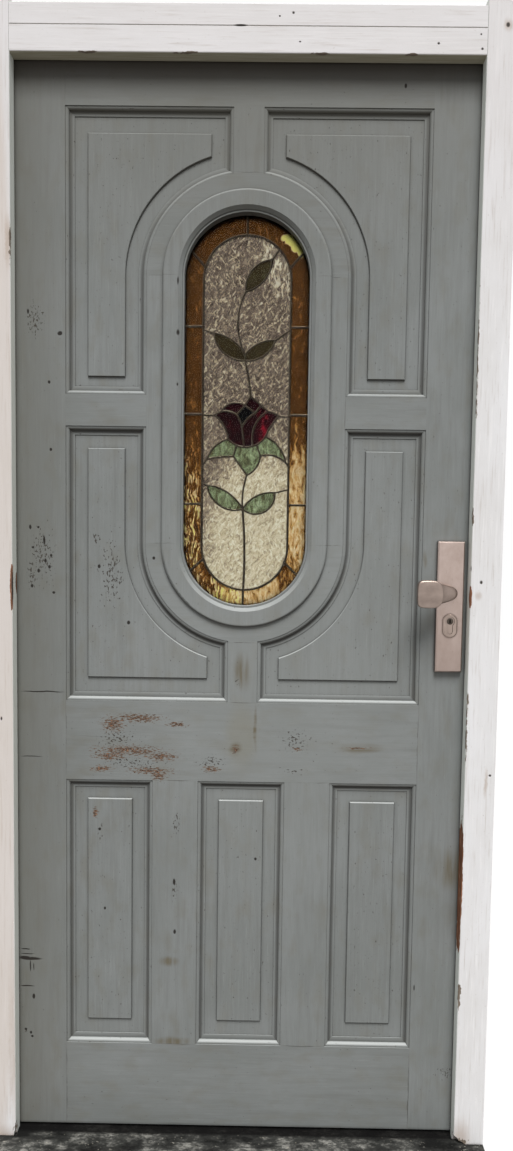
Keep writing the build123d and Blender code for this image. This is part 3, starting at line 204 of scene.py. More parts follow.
CRACKS = [
    ((-420, 0, 1280), (2.8, 14, 5.5)),
    ((-404, 0, 1280), (3, 14, 3)),
    ((-393, 0, 1255), (2.6, 14, 11)),
    ((-415, 0, 1241), (3, 14, 3)),
    ((-380, 0, 1226), (3.2, 14, 3.6)),
    ((-391, 0, 1215), (3.4, 14, 4.4)),
    ((-383, 0, 1203), (3.6, 14, 4.6)),
    ((-404, 0, 1195), (3.2, 14, 5)),
    ((-418, 0, 1165), (3.6, 14, 4.6)),
    ((-374, 0, 1152), (3.8, 14, 3.2)),
    ((-397, 0, 954), (52, 14, 1.6)),
    ((-424, 0, 405), (28, 14, 4.0)),
    ((-434, 0, 425), (11, 14, 1.6)),
    ((-430, 0, 415), (17, 14, 1.3)),
    ((-424, 0, 390), (1.5, 14, 15)),
    ((-417, 0, 388), (1.1, 14, 10)),
    ((-434, 0, 256), (3.4, 14, 3)),
    ((-424, 0, 249), (3.0, 14, 4)),
    ((-421, 0, 241), (3.4, 14, 3)),
    ((-436, 0, 407), (14, 14, 4.0)),
    ((-431, 0, 347), (17, 14, 1.6)),
    ((-420, 0, 823), (26, 14, 1.0)),
    ((-418, 0, 325), (3.4, 14, 7)),
    ((-133, 0, 1657), (4.4, 14, 8.5)),
    ((-133, 0, 1754), (2.6, 14, 12)),
    ((-133, 0, 1559), (2.6, 14, 5)),
    ((-361, 0, 1654), (6, 14, 5)),
    ((-423, 0, 1695), (2.4, 14, 6)),
    ((-382, 0, 1561), (3.0, 14, 4)),
    ((295, 0, 2121), (3.0, 14, 5)),
    ((-133, 0, 570), (3.2, 14, 8)),
    ((-131, 0, 466), (3.4, 14, 6)),
    ((-379, 0, 1432), (3.2, 14, 4)),
    ((-286, 8, 1204), (4, 14, 5)),
    ((-227, 8, 1094), (4, 14, 5)),
    ((-177, 0, 1223), (3.8, 14, 4)),
    ((31, 8, 618), (3.6, 14, 4)),
    ((-284, 8, 675), (4, 14, 3.4)),
    ((-274, 8, 511), (3, 14, 4)),
    ((357, 0, 358), (1.6, 14, 8)),
]
JOINTS = [
    ((-350.5, 0, 858), (0.9, 14, 96)),
    ((350.5, 0, 858), (0.9, 14, 96)),
    ((-350.5, 0, 140), (1.3, 14, 120)),
    ((350.5, 0, 140), (1.2, 14, 120)),
    ((-350.5, 0, 2130), (0.5, 14, 60)),
    ((-300, 0, 866), (50, 14, 0.8)),
    ((0, 0, 938), (36, 14, 0.9)),
    ((-132, 0, 230), (54, 14, 1.1)),
    ((132, 0, 230), (54, 14, 1.3)),
    ((-132, 0, 778), (54, 14, 0.9)),
    ((132, 0, 778), (54, 14, 0.9)),
    ((-193, 0, 1509), (0.8, 14, 40)),
    ((193, 0, 1509), (0.8, 14, 40)),
    ((0, 0, 1058), (36, 14, 1.0)),
    ((0, 0, 1960), (36, 14, 0.8)),
    ((-158, 0, 1252), (40, 14, 0.9)),
    ((158, 0, 1252), (40, 14, 0.9)),
    ((-158, 0, 1766), (40, 14, 0.8)),
    ((158, 0, 1766), (40, 14, 0.8)),
]
STAINS = [
    ((424, 0, 606), (44, 14, 56)),
    ((355, 0, 1228), (7, 14, 22)),
    ((27, 0, 888), (5, 14, 60)),
    ((0, 0, 1000), (24, 14, 50)),
    ((-143, 0, 404), (26, 14, 14)),
    ((-12, 0, 843), (16, 14, 20)),
    ((240, 0, 850), (60, 14, 14)),
    ((-132, 0, 236), (50, 14, 12)),
]

# Wide places: darker on the hinge side and towards the head, painted shade in the dark corner between them,
# paler in the middle, and a yellowish run under the middle post
DARKENED_PLACES = [((-480, 0, 1050), (190, 60, 4600)), ((0, 0, 2300), (900, 60, 700))]
SHADED = [((-500, 0, 2150), (240, 60, 640))]
PALER_MIDDLE = [((50, 0, 1080), (420, 60, 700))]
RUN = [((0, 0, 872), (42, 60, 84))]

# Heights in metres from and to which the mouldings' upper sides turn paler in a painted highlight, soot and a
# painted shadow set in under the head, and dirt and painted shade reach up the foot
PALER, SOOT_AND_SHADOW, SPLASH_AND_SHADE = (1.10, 1.02), (2.088, 2.150), (0.062, 0.053)

# Depths in metres behind the leaf's face at which the painted shade and dirt on the foot of each ovolo begin,
# are full, and end
FOOT_BEGINS, FOOT_ENDS = (0.0066, 0.0074), (0.0084, 0.0079)


def leaf_paint(name, along):
    """Alkyd enamel brushed over joinery timber: satin, with brush lines that run with the grain under them,
    dirt worked into them, and places worn down to orange-brown wood."""
    made, tree, place = new_finish(name)
    at = add(tree, "SeparateXYZ", {"Vector": place})
    way = (add(tree, "SeparateXYZ", {"Vector": (add(tree, "NewGeometry"), "True Normal")}), "Z")
    sway = stretched(tree, place, 30, along, 2, Detail=4.0)
    torn = strayed(tree, place, sway, (0.012, 0.0, 0.012))
    bent = strayed(tree, place, sway, (0.005, 0.0, 0.005))
    up = (add(tree, "SeparateXYZ", {"Vector": bent}), "Z")

    # Brush lines are under a millimetre apart; they are drawn 2.5 mm apart so that they show
    lines = stretched(tree, place, 2.5, along, 30, Detail=4.0, Roughness=0.7)
    broad = stretched(tree, place, 10, along, 14)
    cloud = stretched(tree, place, 150, along, 1.6, Detail=5.0, Roughness=0.6)
    speck = stretched(tree, place, 2.6, along, 1.6, Detail=2.0, Roughness=0.7)

    # Painted shade, with some dirt, in the quirks and along the foot of each ovolo, less where that faces up
    shade_in_hollows = (add(tree, "AmbientOcclusion", {"Distance": 0.007}, samples=4), "AO")
    sockets = {"Value": way, "From Min": 0.08, "From Max": -0.08, "To Min": 0.3, "To Max": 0.85}
    shade_by_facing = add(tree, "MapRange", sockets)
    nil, full = FOOT_ENDS
    foot = add(tree, "MapRange", {"Value": (at, "Y"), "From Min": nil, "From Max": full, "To Max": shade_by_facing})

    # Painted highlight: the upper sides of the mouldings are painted paler, more so below the lock
    high, low = PALER
    sockets = {"Value": (at, "Z"), "From Min": high, "From Max": low, "To Min": 0.36, "To Max": 0.66}
    upper_highlight = add(tree, "MapRange", sockets)

    darkened_places = marks(tree, place, DARKENED_PLACES, solid=0.1)
    paint = coats(
        tree,
        linear("757876"),
        [
            (cloud, 0.36, 0.62, 1.0, "7e8180"),
            (broad, 0.48, 0.90, 1.0, "707270"),
            (lines, 0.54, 0.92, 1.0, "6b6e6b"),
            (lines, 0.44, 0.12, 1.0, "8a8d8b"),
            (sway, 0.50, 0.74, 0.35, "6b675a"),
            (speck, 0.64, 0.84, 1.0, "60615e"),
            (marks(tree, place, PALER_MIDDLE, solid=0.3, full=0.2), "9b9e9c"),
            # Painted shade, with some dirt, in the quirks, at the feet of the ovolos and on undersides, and
            # painted highlights on the upper sides
            (shade_in_hollows, 0.84, 0.44, 0.88, "262421"),
            ((at, "Y"), *FOOT_BEGINS, foot, "211e1a"),
            (way, -0.3, -0.85, 0.75, "38312a"),
            (way, 0.12, 0.6, upper_highlight, "b6b9b7"),
            # The wide places
            (cloud, -0.3, 1.1, darkened_places, "5d5b52"),
            (marks(tree, place, SHADED, solid=0.2, full=0.3), "53524b"),
            (marks(tree, torn, RUN, solid=0.4, full=0.3), "7a7460"),
            # Painted shadow under the head, with soot and cobweb dirt there, and painted shade with splashed
            # dirt along the foot
            (up, *SOOT_AND_SHADOW, 0.72, "2a2018"),
            (up, *SPLASH_AND_SHADE, 0.8, "1d1b19"),
            (broad, 0.25, 0.60, marks(tree, torn, STAINS, solid=0.2, full=0.8), "5f5642"),
        ],
    )

    # Dents and flakes, 2 to 6 mm long, with a dark floor
    flake = stretched(tree, place, 3.6, along, 1.7, Detail=2.0, Roughness=0.60)
    spread = marks(tree, torn, DENTS, solid=0.0, full=0.18)
    pitted = add(tree, "Math", {0: flake, 1: spread}, operation="ADD")
    dented = add(tree, "MapRange", {"Value": pitted, "From Min": 0.715, "From Max": 0.735})

    # Scrapes: short level flecks down to the wood, 1 to 3 mm high and up to 20 mm long, dark at their rims
    worn = stretched(tree, place, 2.6, "x", 3.0, Roughness=0.66)
    there = marks(tree, torn, SCRAPES, solid=0.0, full=0.23)
    height = add(tree, "Math", {0: worn, 1: there}, operation="ADD")
    within = add(tree, "MapRange", {"Value": there, "From Min": 0.0, "From Max": 0.03})
    rubbed_thin = add(tree, "MapRange", {"Value": height, "From Min": 0.55, "From Max": 0.70, "To Max": there})
    bare = add(tree, "MapRange", {"Value": height, "From Min": 0.70, "From Max": 0.73, "To Max": within})
    cracked = marks(tree, bent, CRACKS, solid=0.55)
    paint = coats(
        tree,
        paint,
        [
            (rubbed_thin, 0.0, 1.0, 2.0, "877868"),
            (height, 0.63, 0.66, within, "685c52"),
            (bare, coats(tree, linear("47382f"), [(speck, 0.47, 0.62, 1.0, "946f56")])),
            (dented, 0.0, 1.0, 0.85, "3b342d"),
            (cracked, 0.0, 1.0, 0.95, "1f1a16"),
            (broad, 0.28, 0.55, marks(tree, bent, JOINTS, solid=0.4, full=0.75), "4a4944"),
        ],
    )

    # Bump, in metres: brush lines 0.06 mm deep, and flakes, cracks and scrapes cut 0.5 mm in
    relief = add(tree, "Math", {0: broad, 1: 0.00010}, operation="MULTIPLY")
    relief = add(tree, "Math", {0: lines, 1: 0.00006, 2: relief}, operation="MULTIPLY_ADD")
    hollow = add(tree, "Math", {0: dented, 1: cracked}, operation="MAXIMUM")
    hollow = add(tree, "Math", {0: hollow, 1: bare}, operation="MAXIMUM")
    relief = add(tree, "Math", {0: hollow, 1: -0.0005, 2: relief}, operation="MULTIPLY_ADD")
    bump = add(tree, "Bump", {"Strength": 0.8, "Distance": 1.0, "Height": relief})

    # Satin where the paint is whole, and rougher in every hollow
    matt = add(tree, "Math", {0: cloud, 1: 0.20, 2: 0.44}, operation="MULTIPLY_ADD")
    matt = add(tree, "Math", {0: hollow, 1: 0.3, 2: matt}, operation="MULTIPLY_ADD")
    surface(
        tree,
        {"Base Color": paint, "Roughness": matt, "Normal": bump, "IOR": 1.5, "Specular IOR Level": 0.25},
    )
    return made


# Wear of the frame, given in the same way: chips and peeled places along its arrises, nail holes and splits,
# stains, and the post whose paint is oldest

CHIPS = [
    ((441, -31, 353), (5, 12, 50)),
    ((439, -31, 1311), (3, 10, 30)),
    ((439, -31, 900), (3, 10, 120)),
    ((439, -31, 1600), (2.5, 10, 200)),
    ((456, -26, 52), (22, 14, 16)),
    ((-447, -31, 1816), (3.5, 10, 60)),
    ((-300, -31, 2160), (26, 9, 4)),
    ((-120, -31, 2160), (40, 9, 4)),
    ((130, -31, 2160), (30, 9, 4)),
    ((300, -31, 2160), (22, 9, 4)),
    ((-447, -26, 64), (7, 14, 20)),
]
PEELED = [
    ((438.5, -31, 1157), (4.2, 12, 25)),
    ((437, -18, 592), (5.4, 26, 150)),
    ((437, -18, 478), (3.6, 26, 46)),
    ((-448, -31, 1165), (3.6, 7, 50)),
    ((-445, -5, 1169), (4, 6, 26)),
]
HOLES = [
    ((459, -31, 1185), (3.6, 8, 4.6)),
    ((438, -31, 1211), (2.4, 8, 9)),
    ((80, -31, 2232), (3.2, 8, 3.2)),
    ((55, -31, 2226), (2.4, 8, 2.2)),
    ((349, -31, 2180), (3.2, 8, 3)),
    ((430, -31, 2171), (3, 8, 3)),
    ((427, -31, 2197), (2.2, 8, 2.2)),
    ((93, -31, 2181), (2.6, 8, 2)),
    ((-17, -31, 2209), (17, 8, 2.8)),
    ((476, -31, 2214), (4.6, 8, 6)),
    ((488, -31, 807), (3.4, 8, 3)),
    ((-474, -31, 1330), (3, 8, 4)),
    ((-447.5, -31, 1163), (2.2, 8, 44)),
    ((-444, -8, 1172), (4, 7, 17)),
    ((-470, -31, 905), (2.4, 8, 5)),
]
FRAME_STAINS = [
    ((480, -31, 792), (5, 20, 40)),
    ((454, -31, 1159), (10, 20, 12)),
    ((-452, -31, 1816), (9, 20, 70)),
    ((-450, -31, 250), (14, 24, 240)),
    ((452, -31, 60), (30, 30, 60)),
    ((-470, -31, 40), (50, 30, 40)),
    ((476, -31, 2214), (12, 20, 16)),
]
AGED = [((-490, -20, 1100), (60, 90, 1300))]


def frame_paint(name, along):
    """White alkyd gloss brushed over softwood, gone chalky: thick brush lines, chipped arrises that show dark
    wood, grey dirt low down and pinkish stains."""
    made, tree, place = new_finish(name)
    at = add(tree, "SeparateXYZ", {"Vector": place})
    way = add(tree, "SeparateXYZ", {"Vector": (add(tree, "NewGeometry"), "True Normal")})
    sideways = add(tree, "Math", {0: (way, "X")}, operation="ABSOLUTE")
    sway = stretched(tree, place, 9, along, 2, Detail=4.0, Roughness=0.7)
    torn = strayed(tree, place, sway, (0.012, 0.008, 0.012))
    frayed = strayed(tree, place, sway, (0.005, 0.005, 0.012))

    # Brush lines are drawn 4 mm apart so that they show
    lines = stretched(tree, place, 4.0, along, 22, Detail=4.0, Roughness=0.62)
    cloud = stretched(tree, place, 120, along, 2.2, Detail=5.0, Roughness=0.62)
    speck = stretched(tree, place, 3.4, along, 1.5, Detail=2.0, Roughness=0.7)
    shade_in_hollows = (add(tree, "AmbientOcclusion", {"Distance": 0.010}, samples=4), "AO")
    thin = coats(tree, linear("9c9682"), [(lines, 0.4, 0.7, 1.0, "b2ad9d")])
    paint = coats(
        tree,
        linear("d8d6d5"),
        [
            (cloud, 0.34, 0.62, 1.0, "e2e1e2"),
            (lines, 0.56, 0.84, 1.0, "bcb4ae"),
            (lines, 0.44, 0.20, 1.0, "eceaea"),
            (speck, 0.68, 0.80, 1.0, "a59c94"),
            # Duller towards the head and on the hinge post, with painted shade and dirt in the corners, and
            # stains
            ((at, "Z"), 1.6, 2.2, 0.34, "c4bcba"),
            (marks(tree, place, AGED, solid=0.8, full=0.5), "c2b3a6"),
            (shade_in_hollows, 0.72, 0.42, 0.85, "3a332c"),
            (cloud, 0.25, 0.50, marks(tree, torn, FRAME_STAINS, solid=0.1, full=0.55), "a58f7c"),
            # The reveals, which face sideways, are whiter, but the head's underside is thin, olive-brown and
            # rough
            (sideways, 0.6, 0.9, 0.7, "f2f8f1"),
            ((way, "Z"), -0.6, -0.9, 1.0, thin),
        ],
    )

    # Chips and peeled places, whose wood is orange where the paint has just come off and grey on old arrises
    chip = stretched(tree, place, 8, along, 3.0, Detail=5.0, Roughness=0.7)
    grain = stretched(tree, place, 3.0, along, 14)
    peeled = marks(tree, frayed, PEELED, solid=0.8)
    there = add(tree, "Math", {0: marks(tree, torn, CHIPS, solid=0.0), 1: peeled}, operation="MAXIMUM")
    height = add(tree, "Math", {0: there, 1: 0.42, 2: chip}, operation="MULTIPLY_ADD")
    within = add(tree, "MapRange", {"Value": there, "From Min": 0.02, "From Max": 0.1})
    bare = add(tree, "MapRange", {"Value": height, "From Min": 0.70, "From Max": 0.72, "To Max": within})
    fresh = coats(
        tree,
        linear("5d3a26"),
        [(grain, 0.38, 0.62, 1.0, "98664a"), (grain, 0.66, 0.70, 1.0, "cbb7a2")],
    )
    pinned = marks(tree, place, HOLES)
    paint = coats(
        tree,
        paint,
        [
            (height, 0.66, 0.69, within, "8f8578"),
            (bare, coats(tree, linear("75695d"), [(peeled, 0.0, 0.1, 1.0, fresh)])),
            (pinned, "3f3a36"),
        ],
    )

    # Bump, in metres: brush lines 0.2 mm deep, and chips and nail holes 0.9 mm
    relief = add(tree, "Math", {0: cloud, 1: 0.0008}, operation="MULTIPLY")
    relief = add(tree, "Math", {0: lines, 1: 0.00022, 2: relief}, operation="MULTIPLY_ADD")
    hollow = add(tree, "Math", {0: bare, 1: pinned}, operation="MAXIMUM")
    relief = add(tree, "Math", {0: hollow, 1: -0.0009, 2: relief}, operation="MULTIPLY_ADD")
    bump = add(tree, "Bump", {"Strength": 0.9, "Distance": 1.0, "Height": relief})
    matt = add(tree, "Math", {0: hollow, 1: 0.25, 2: 0.55}, operation="MULTIPLY_ADD")
    surface(
        tree,
        {"Base Color": paint, "Roughness": matt, "Normal": bump, "IOR": 1.5, "Specular IOR Level": 0.25},
    )
    return made


def weathered_stone():
    """Limestone sill, sawn and long walked on: near black with grime, worn pale on high spots, with grit."""
    made, tree, place = new_finish("limestone_walked_on")
    large = stretched(tree, place, 60, "x", 1.8, Detail=6.0, Roughness=0.68)
    small = stretched(tree, place, 9, "x", 1.6, Detail=4.0, Roughness=0.7)
    grit = (add(tree, "TexVoronoi", {"Vector": place, "Scale": every(13)}), "Distance")
    scuffed = add(tree, "MapRange", {"Value": small, "From Min": 0.44, "From Max": 0.58})
    # How far in the painted shade and damp black dirt under the leaf begin, with a ragged edge
    depth = (add(tree, "SeparateXYZ", {"Vector": place}), "Y")
    depth = add(tree, "Math", {0: large, 1: 0.02, 2: depth}, operation="MULTIPLY_ADD")
    stone = coats(
        tree,
        linear("161615"),
        [
            (large, 0.40, 0.60, 1.0, "454542"),
            (large, 0.48, 0.62, scuffed, "8d8b85"),
            (small, 0.64, 0.72, 1.0, "9a968c"),
            (grit, 0.14, 0.08, 1.0, "67645c"),
            (depth, -0.014, -0.005, 0.95, "080707"),
        ],
    )
    # Bump, in metres: hollows 4 mm deep, with 1.6 mm of roughness on them
    relief = add(tree, "Math", {0: small, 1: 0.0016}, operation="MULTIPLY")
    relief = add(tree, "Math", {0: large, 1: 0.004, 2: relief}, operation="MULTIPLY_ADD")
    bump = add(tree, "Bump", {"Strength": 0.8, "Distance": 1.0, "Height": relief})
    surface(tree, {"Base Color": stone, "Roughness": 0.78, "Normal": bump, "Specular IOR Level": 0.1})
    return made


def extruded_rubber():
    """EPDM rubber, extruded: matt black with fine lengthwise die lines and a grey bloom."""
    made, tree, place = new_finish("epdm_rubber_extruded")
    lines = stretched(tree, place, 1.2, "z", 60, Detail=2.0)
    bloom = stretched(tree, place, 35, "z", 3, Detail=4.0)
    black = coats(tree, linear("1d1d1d"), [(bloom, 0.42, 0.66, 1.0, "343433")])
    bump = add(tree, "Bump", {"Strength": 0.5, "Distance": 0.0002, "Height": lines})
    surface(tree, {"Base Color": black, "Roughness": 0.72, "Normal": bump})
    return made


# How much of its mirror the dusty glass keeps
DULL = (0.06, 0.06, 0.06, 1.0)

# The light is an oval of two half rings, this far above and below the height of its middle, and the painted
# shadow and dirt at its rim lie between these two radii
OVAL_MIDDLE, OVAL_STRAIGHT = 1.509, 0.257
RIM_SHADE_NIL, RIM_SHADE_FULL = 0.107, 0.121


def float_glass():
    """Float glass: flat and clear, with a thin film of dust and rain marks."""
    made, tree, place = new_finish("float_glass_clear")
    film = stretched(tree, place, 40, "z", 3, Detail=5.0, Roughness=0.7)
    rough = add(tree, "MapRange", {"Value": film, "From Min": 0.4, "From Max": 0.8, "To Max": 0.06})
    surface(
        tree,
        {
            "Base Color": linear("f6f8f5"),
            "Roughness": rough,
            "IOR": 1.5,
            "Transmission Weight": 1.0,
            "Specular Tint": DULL,
        },
    )
    return made


def rim_shadow_and_dirt(tree, place):
    """Painted shadow, with some dirt, on the glass along the timber, most of it at the top."""
    at = add(tree, "SeparateXYZ", {"Vector": place})
    up = add(tree, "Math", {0: (at, "Z"), 1: -OVAL_MIDDLE}, operation="ADD")
    off = add(tree, "Math", {0: up}, operation="ABSOLUTE")
    past = add(tree, "Math", {0: off, 1: -OVAL_STRAIGHT}, operation="ADD")
    past = add(tree, "Math", {0: past, 1: 0.0}, operation="MAXIMUM")
    spoke = add(tree, "CombineXYZ", {"X": (at, "X"), "Z": past})
    out = (add(tree, "VectorMath", {0: spoke}, operation="LENGTH"), "Value")
    sockets = {"Value": up, "From Min": 0.1, "From Max": 0.3, "To Min": 0.35, "To Max": 0.9}
    most = add(tree, "MapRange", sockets)
    return (out, RIM_SHADE_NIL, RIM_SHADE_FULL, most, "0c0805")


def coloured_glass(
    name, ramp, size, run, seen, painted_glint, slant=0.0, backlit=(), solid=0.2, lit=(), flare=(), rim=False
):
    """Cathedral glass, rolled: streaks of its own colours drawn out upright, and a rippled face with painted
    glints.
    ramp runs from its darkest streaks to its palest, size and run give the streaks, seen and painted_glint the
    width of its ripples and how much paler the painted glints on their crests are, backlit the places painted
    pale with light from behind, lit those painted dark with pale streaks of light, and flare those painted with
    daylight."""
    made, tree, place = new_finish(name)
    bend = stretched(tree, place, 26, "z", 1.2)
    moved = strayed(tree, place, bend, (0.02, 0.0, 0.02))
    turned = add(tree, "VectorRotate", {"Vector": moved, "Angle": slant}, rotation_type="Y_AXIS")
    streak = stretched(tree, turned, size, "z", run, Detail=5.0, Roughness=0.70, Distortion=0.3)
    ripple = stretched(tree, turned, seen, "z", 3.0, Detail=2.0, Roughness=0.55)
    if slant:
        # Hammered: a second set of ripples crosses the first
        back = add(tree, "VectorRotate", {"Vector": moved, "Angle": -0.8 * slant}, rotation_type="Y_AXIS")
        crossed = stretched(tree, back, seen, "z", 3.0, Detail=2.0, Roughness=0.55)
        ripple = add(tree, "Math", {0: ripple, 1: crossed}, operation="MAXIMUM")
    # Painted glints: the crests of the ripples are painted paler
    crest = add(tree, "MapRange", {"Value": ripple, "From Min": 0.58, "From Max": 0.68, "To Max": painted_glint})
    value = add(tree, "Math", {0: crest, 1: streak}, operation="ADD")

    # The backlit and the lit places, both painted light, end in upright tongues, and the lit ones are broken
    # into fine streaks
    tongues = strayed(tree, place, stretched(tree, place, 9, "z", 3.4, Detail=2.0), (0.02, 0.0, 0.16))
    fine = stretched(tree, moved, 4.0, "z", 4.0, Detail=2.0)
    fine = add(tree, "MapRange", {"Value": fine, "From Min": 0.50, "From Max": 0.60, "To Max": 0.42})
    for spots, shape, core, paler in (
        (backlit, tongues, solid, 0.25),
        (lit, tongues, 0.4, fine),
        (flare, moved, 0.6, 0.6),
    ):
        if spots:
            thin = marks(tree, shape, spots, solid=core)
            value = add(tree, "Math", {0: thin, 1: paler, 2: value}, operation="MULTIPLY_ADD")
    colour = add(tree, "ValToRGB", {"Fac": value})
    stops = colour.color_ramp.elements
    for spot, code in ramp:
        stops.new(spot).color = linear(code)
    stops.remove(stops[0])
    stops.remove(stops[len(stops) - 1])
    # Painted shadow, with some dirt, along the rim under the timber
    if rim:
        colour = coats(tree, colour, [rim_shadow_and_dirt(tree, place)])
    bump = add(tree, "Bump", {"Strength": 0.9, "Distance": 0.0009, "Height": ripple})
    surface(
        tree,
        {
            "Base Color": colour,
            "Roughness": 0.22,
            "IOR": 1.5,
            "Normal": bump,
            "Transmission Weight": 0.6,
            "Specular Tint": DULL,
        },
    )
    return made


def drawn_lead():
    """Lead came, drawn and soldered: dull brown-grey oxide, with a painted highlight on its upper and its left
    edge.
    """
    made, tree, place = new_finish("lead_drawn_and_soldered")
    cloud = stretched(tree, place, 12, "z", 1.5, Detail=4.0)
    rounded = add(tree, "Bevel", {"Radius": 0.0019}, samples=4)
    # The face of each came is dark; a painted highlight, with some dust, picks out its upper and its left edge
    highlit_side = (add(tree, "VectorMath", {0: rounded, 1: (-0.5, 0.0, 0.8)}, operation="DOT_PRODUCT"), "Value")
    grey = coats(
        tree,
        linear("231c17"),
        [(highlit_side, -0.05, 0.5, 1.0, "978a7a"), (cloud, 0.52, 0.66, 0.3, "5f554a")],
    )
    bump = add(tree, "Bump", {"Strength": 0.6, "Distance": 0.0004, "Height": cloud, "Normal": rounded})
    surface(tree, {"Base Color": grey, "Metallic": 1.0, "Roughness": 0.4, "Normal": bump})
    return made


def satin_metal(name, dark, pale, rough, along, dirt_and_reflection_tone, scratch=0.5, seam_shade=0.75, lower_reflection=None):
    """A metal rubbed along one way before its finish, with faint rub lines, finger marks, dirt and painted
    shade in its seams. seams is how much painted shade and dirt its joints hold, and handled the heights in
    metres between which it is painted darker, a painted reflection of the dark ground."""
    made, tree, place = new_finish(name)
    # Rub lines are far finer than this; they are drawn 1.2 mm apart so that they show
    lines = stretched(tree, place, 1.2, along, 30, Roughness=0.6)
    cloud = stretched(tree, place, 22, along, 1.5, Detail=4.0, Roughness=0.6)
    dirt = stretched(tree, place, 5, along, 2.0, Detail=5.0, Roughness=0.7)
    shade_in_hollows = (add(tree, "AmbientOcclusion", {"Distance": 0.004}, samples=3), "AO")
    rows = [
        (cloud, 0.30, 0.66, 1.0, pale),
        (lines, 0.55, 0.90, scratch, dark),
        (dirt, 0.62, 0.74, 0.6, dirt_and_reflection_tone),
        (shade_in_hollows, 0.86, 0.46, seam_shade, "1f1b18"),
    ]
    # Painted reflection of the dark ground: darker low down, between these heights
    if lower_reflection:
        rows.append(((add(tree, "SeparateXYZ", {"Vector": place}), "Z"), *lower_reflection, 0.5, dirt_and_reflection_tone))
    worn = add(tree, "Math", {0: cloud, 1: 0.24, 2: rough}, operation="MULTIPLY_ADD")
    relief = add(tree, "Math", {0: cloud, 1: 0.0001}, operation="MULTIPLY")
    relief = add(tree, "Math", {0: lines, 1: 0.00002, 2: relief}, operation="MULTIPLY_ADD")
    bump = add(tree, "Bump", {"Strength": 0.6, "Distance": 1.0, "Height": relief})
    tone = coats(tree, linear(dark), rows)
    surface(tree, {"Base Color": tone, "Metallic": 1.0, "Roughness": worn, "Normal": bump})
    return made


# Finishes on the nodes

wear(
    "stile_hinge stile_lock muntin_top muntin_middle muntin_low_hinge muntin_low_lock ring_stave_hinge "
    "ring_stave_lock panel_upper_hinge panel_upper_lock panel_middle_hinge panel_middle_lock panel_low_hinge "
    "panel_low_centre panel_low_lock glazing_band_outside glazing_bead_inside",
    leaf_paint("grey_alkyd_enamel_brushed_upright", "z"),
)
wear(
    "top_rail lock_rail bottom_rail cross_rail_hinge cross_rail_lock ring_arch_top ring_arch_bottom",
    leaf_paint("grey_alkyd_enamel_brushed_level", "x"),
)
wear("jamb_hinge jamb_lock", frame_paint("white_alkyd_gloss_brushed_upright", "z"))
wear("head_rail head_board", frame_paint("white_alkyd_gloss_brushed_level", "x"))
wear("threshold", weathered_stone())
wear("weather_seal", extruded_rubber())
wear("clear_pane", float_glass())

# The glass: each colour from its darkest streaks to its palest, and the places painted with light from behind
# or lit, given as the wear is. Amber is brown and painted gold low down, clear is hammered, grey-brown high up
# and painted pale low down, green is dark but painted milky where light shows through, ruby is near black but
# painted red there, and the lozenge is black

AMBER = [
    (0.34, "3f240c"),
    (0.46, "583512"),
    (0.58, "683f18"),
    (0.66, "ac7a3c"),
    (0.74, "e2b878"),
    (0.86, "fbeac6"),
    (0.97, "fff68c"),
]
BACKLIT_AMBER = [
    ((112, 27, 1310), (50, 30, 180)),
    ((30, 27, 1140), (110, 30, 66)),
]
STREAKED_AMBER = [
    ((-112, 27, 1250), (40, 30, 250)),
    ((-50, 27, 1150), (60, 30, 60)),
]
DAYLIGHT = [
    ((75, 27, 1847), (13, 30, 9)),
    ((84, 27, 1839), (12, 30, 11)),
    ((94, 27, 1829), (13, 30, 12)),
    ((103, 27, 1818), (9, 30, 10)),
]
CLEAR = [
    (0.32, "3b2f27"),
    (0.44, "64554b"),
    (0.54, "85756a"),
    (0.64, "ab9a84"),
    (0.74, "dacba9"),
    (0.86, "f0e6cf"),
    (0.96, "fffbe6"),
]
BACKLIT_CLEAR = [((34, 27, 1240), (150, 30, 262))]
LIT_CLEAR = [((58, 27, 1800), (46, 30, 76))]
GREEN = [
    (0.34, "2a2012"),
    (0.48, "3b2f1a"),
    (0.60, "4b4129"),
    (0.72, "78805f"),
    (0.82, "97a580"),
    (0.94, "cddcb6"),
]
BACKLIT_GREEN = [((0, 27, 1330), (160, 30, 220))]
RUBY = [(0.34, "0f0406"), (0.48, "21080d"), (0.60, "360b12"), (0.72, "6a101e"), (0.86, "ac1a2f")]
BACKLIT_RUBY = [((34, 27, 1474), (16, 30, 34))]
BLACK = [(0.3, "020202"), (0.7, "0b0a0c")]

amber = coloured_glass(
    "cathedral_glass_amber",
    AMBER,
    size=5.5,
    run=3.4,
    seen=7,
    painted_glint=0.06,
    backlit=BACKLIT_AMBER,
    solid=0.5,
    lit=STREAKED_AMBER,
    flare=DAYLIGHT,
    rim=True,
)
clear = coloured_glass(
    "cathedral_glass_clear",
    CLEAR,
    size=4.0,
    run=2.6,
    seen=3.4,
    painted_glint=0.30,
    slant=-0.6,
    backlit=BACKLIT_CLEAR,
    solid=0.55,
    lit=LIT_CLEAR,
)
green = coloured_glass(
    "cathedral_glass_green", GREEN, size=8, run=2.2, seen=7, painted_glint=0.08, backlit=BACKLIT_GREEN, solid=0.6
)
ruby = coloured_glass("cathedral_glass_ruby", RUBY, size=9, run=1.8, seen=7, painted_glint=0.06, backlit=BACKLIT_RUBY)
black = coloured_glass("cathedral_glass_black", BLACK, size=9, run=1.8, seen=7, painted_glint=0.0)
wear("glass_amber", amber)
wear("glass_clear", clear)
wear("glass_green", green)
wear("glass_red", ruby)
wear("glass_dark", black)
wear("lead_cames", drawn_lead())

# The metals: dark and pale tone, roughness, way of the rub lines, and dirt. The plates and the lever have a
# warm soft sheen, the handled knob and the guard are duller, the zinc is blue-grey with brown dirt, and the
# plated brass of the plugs has gone dark

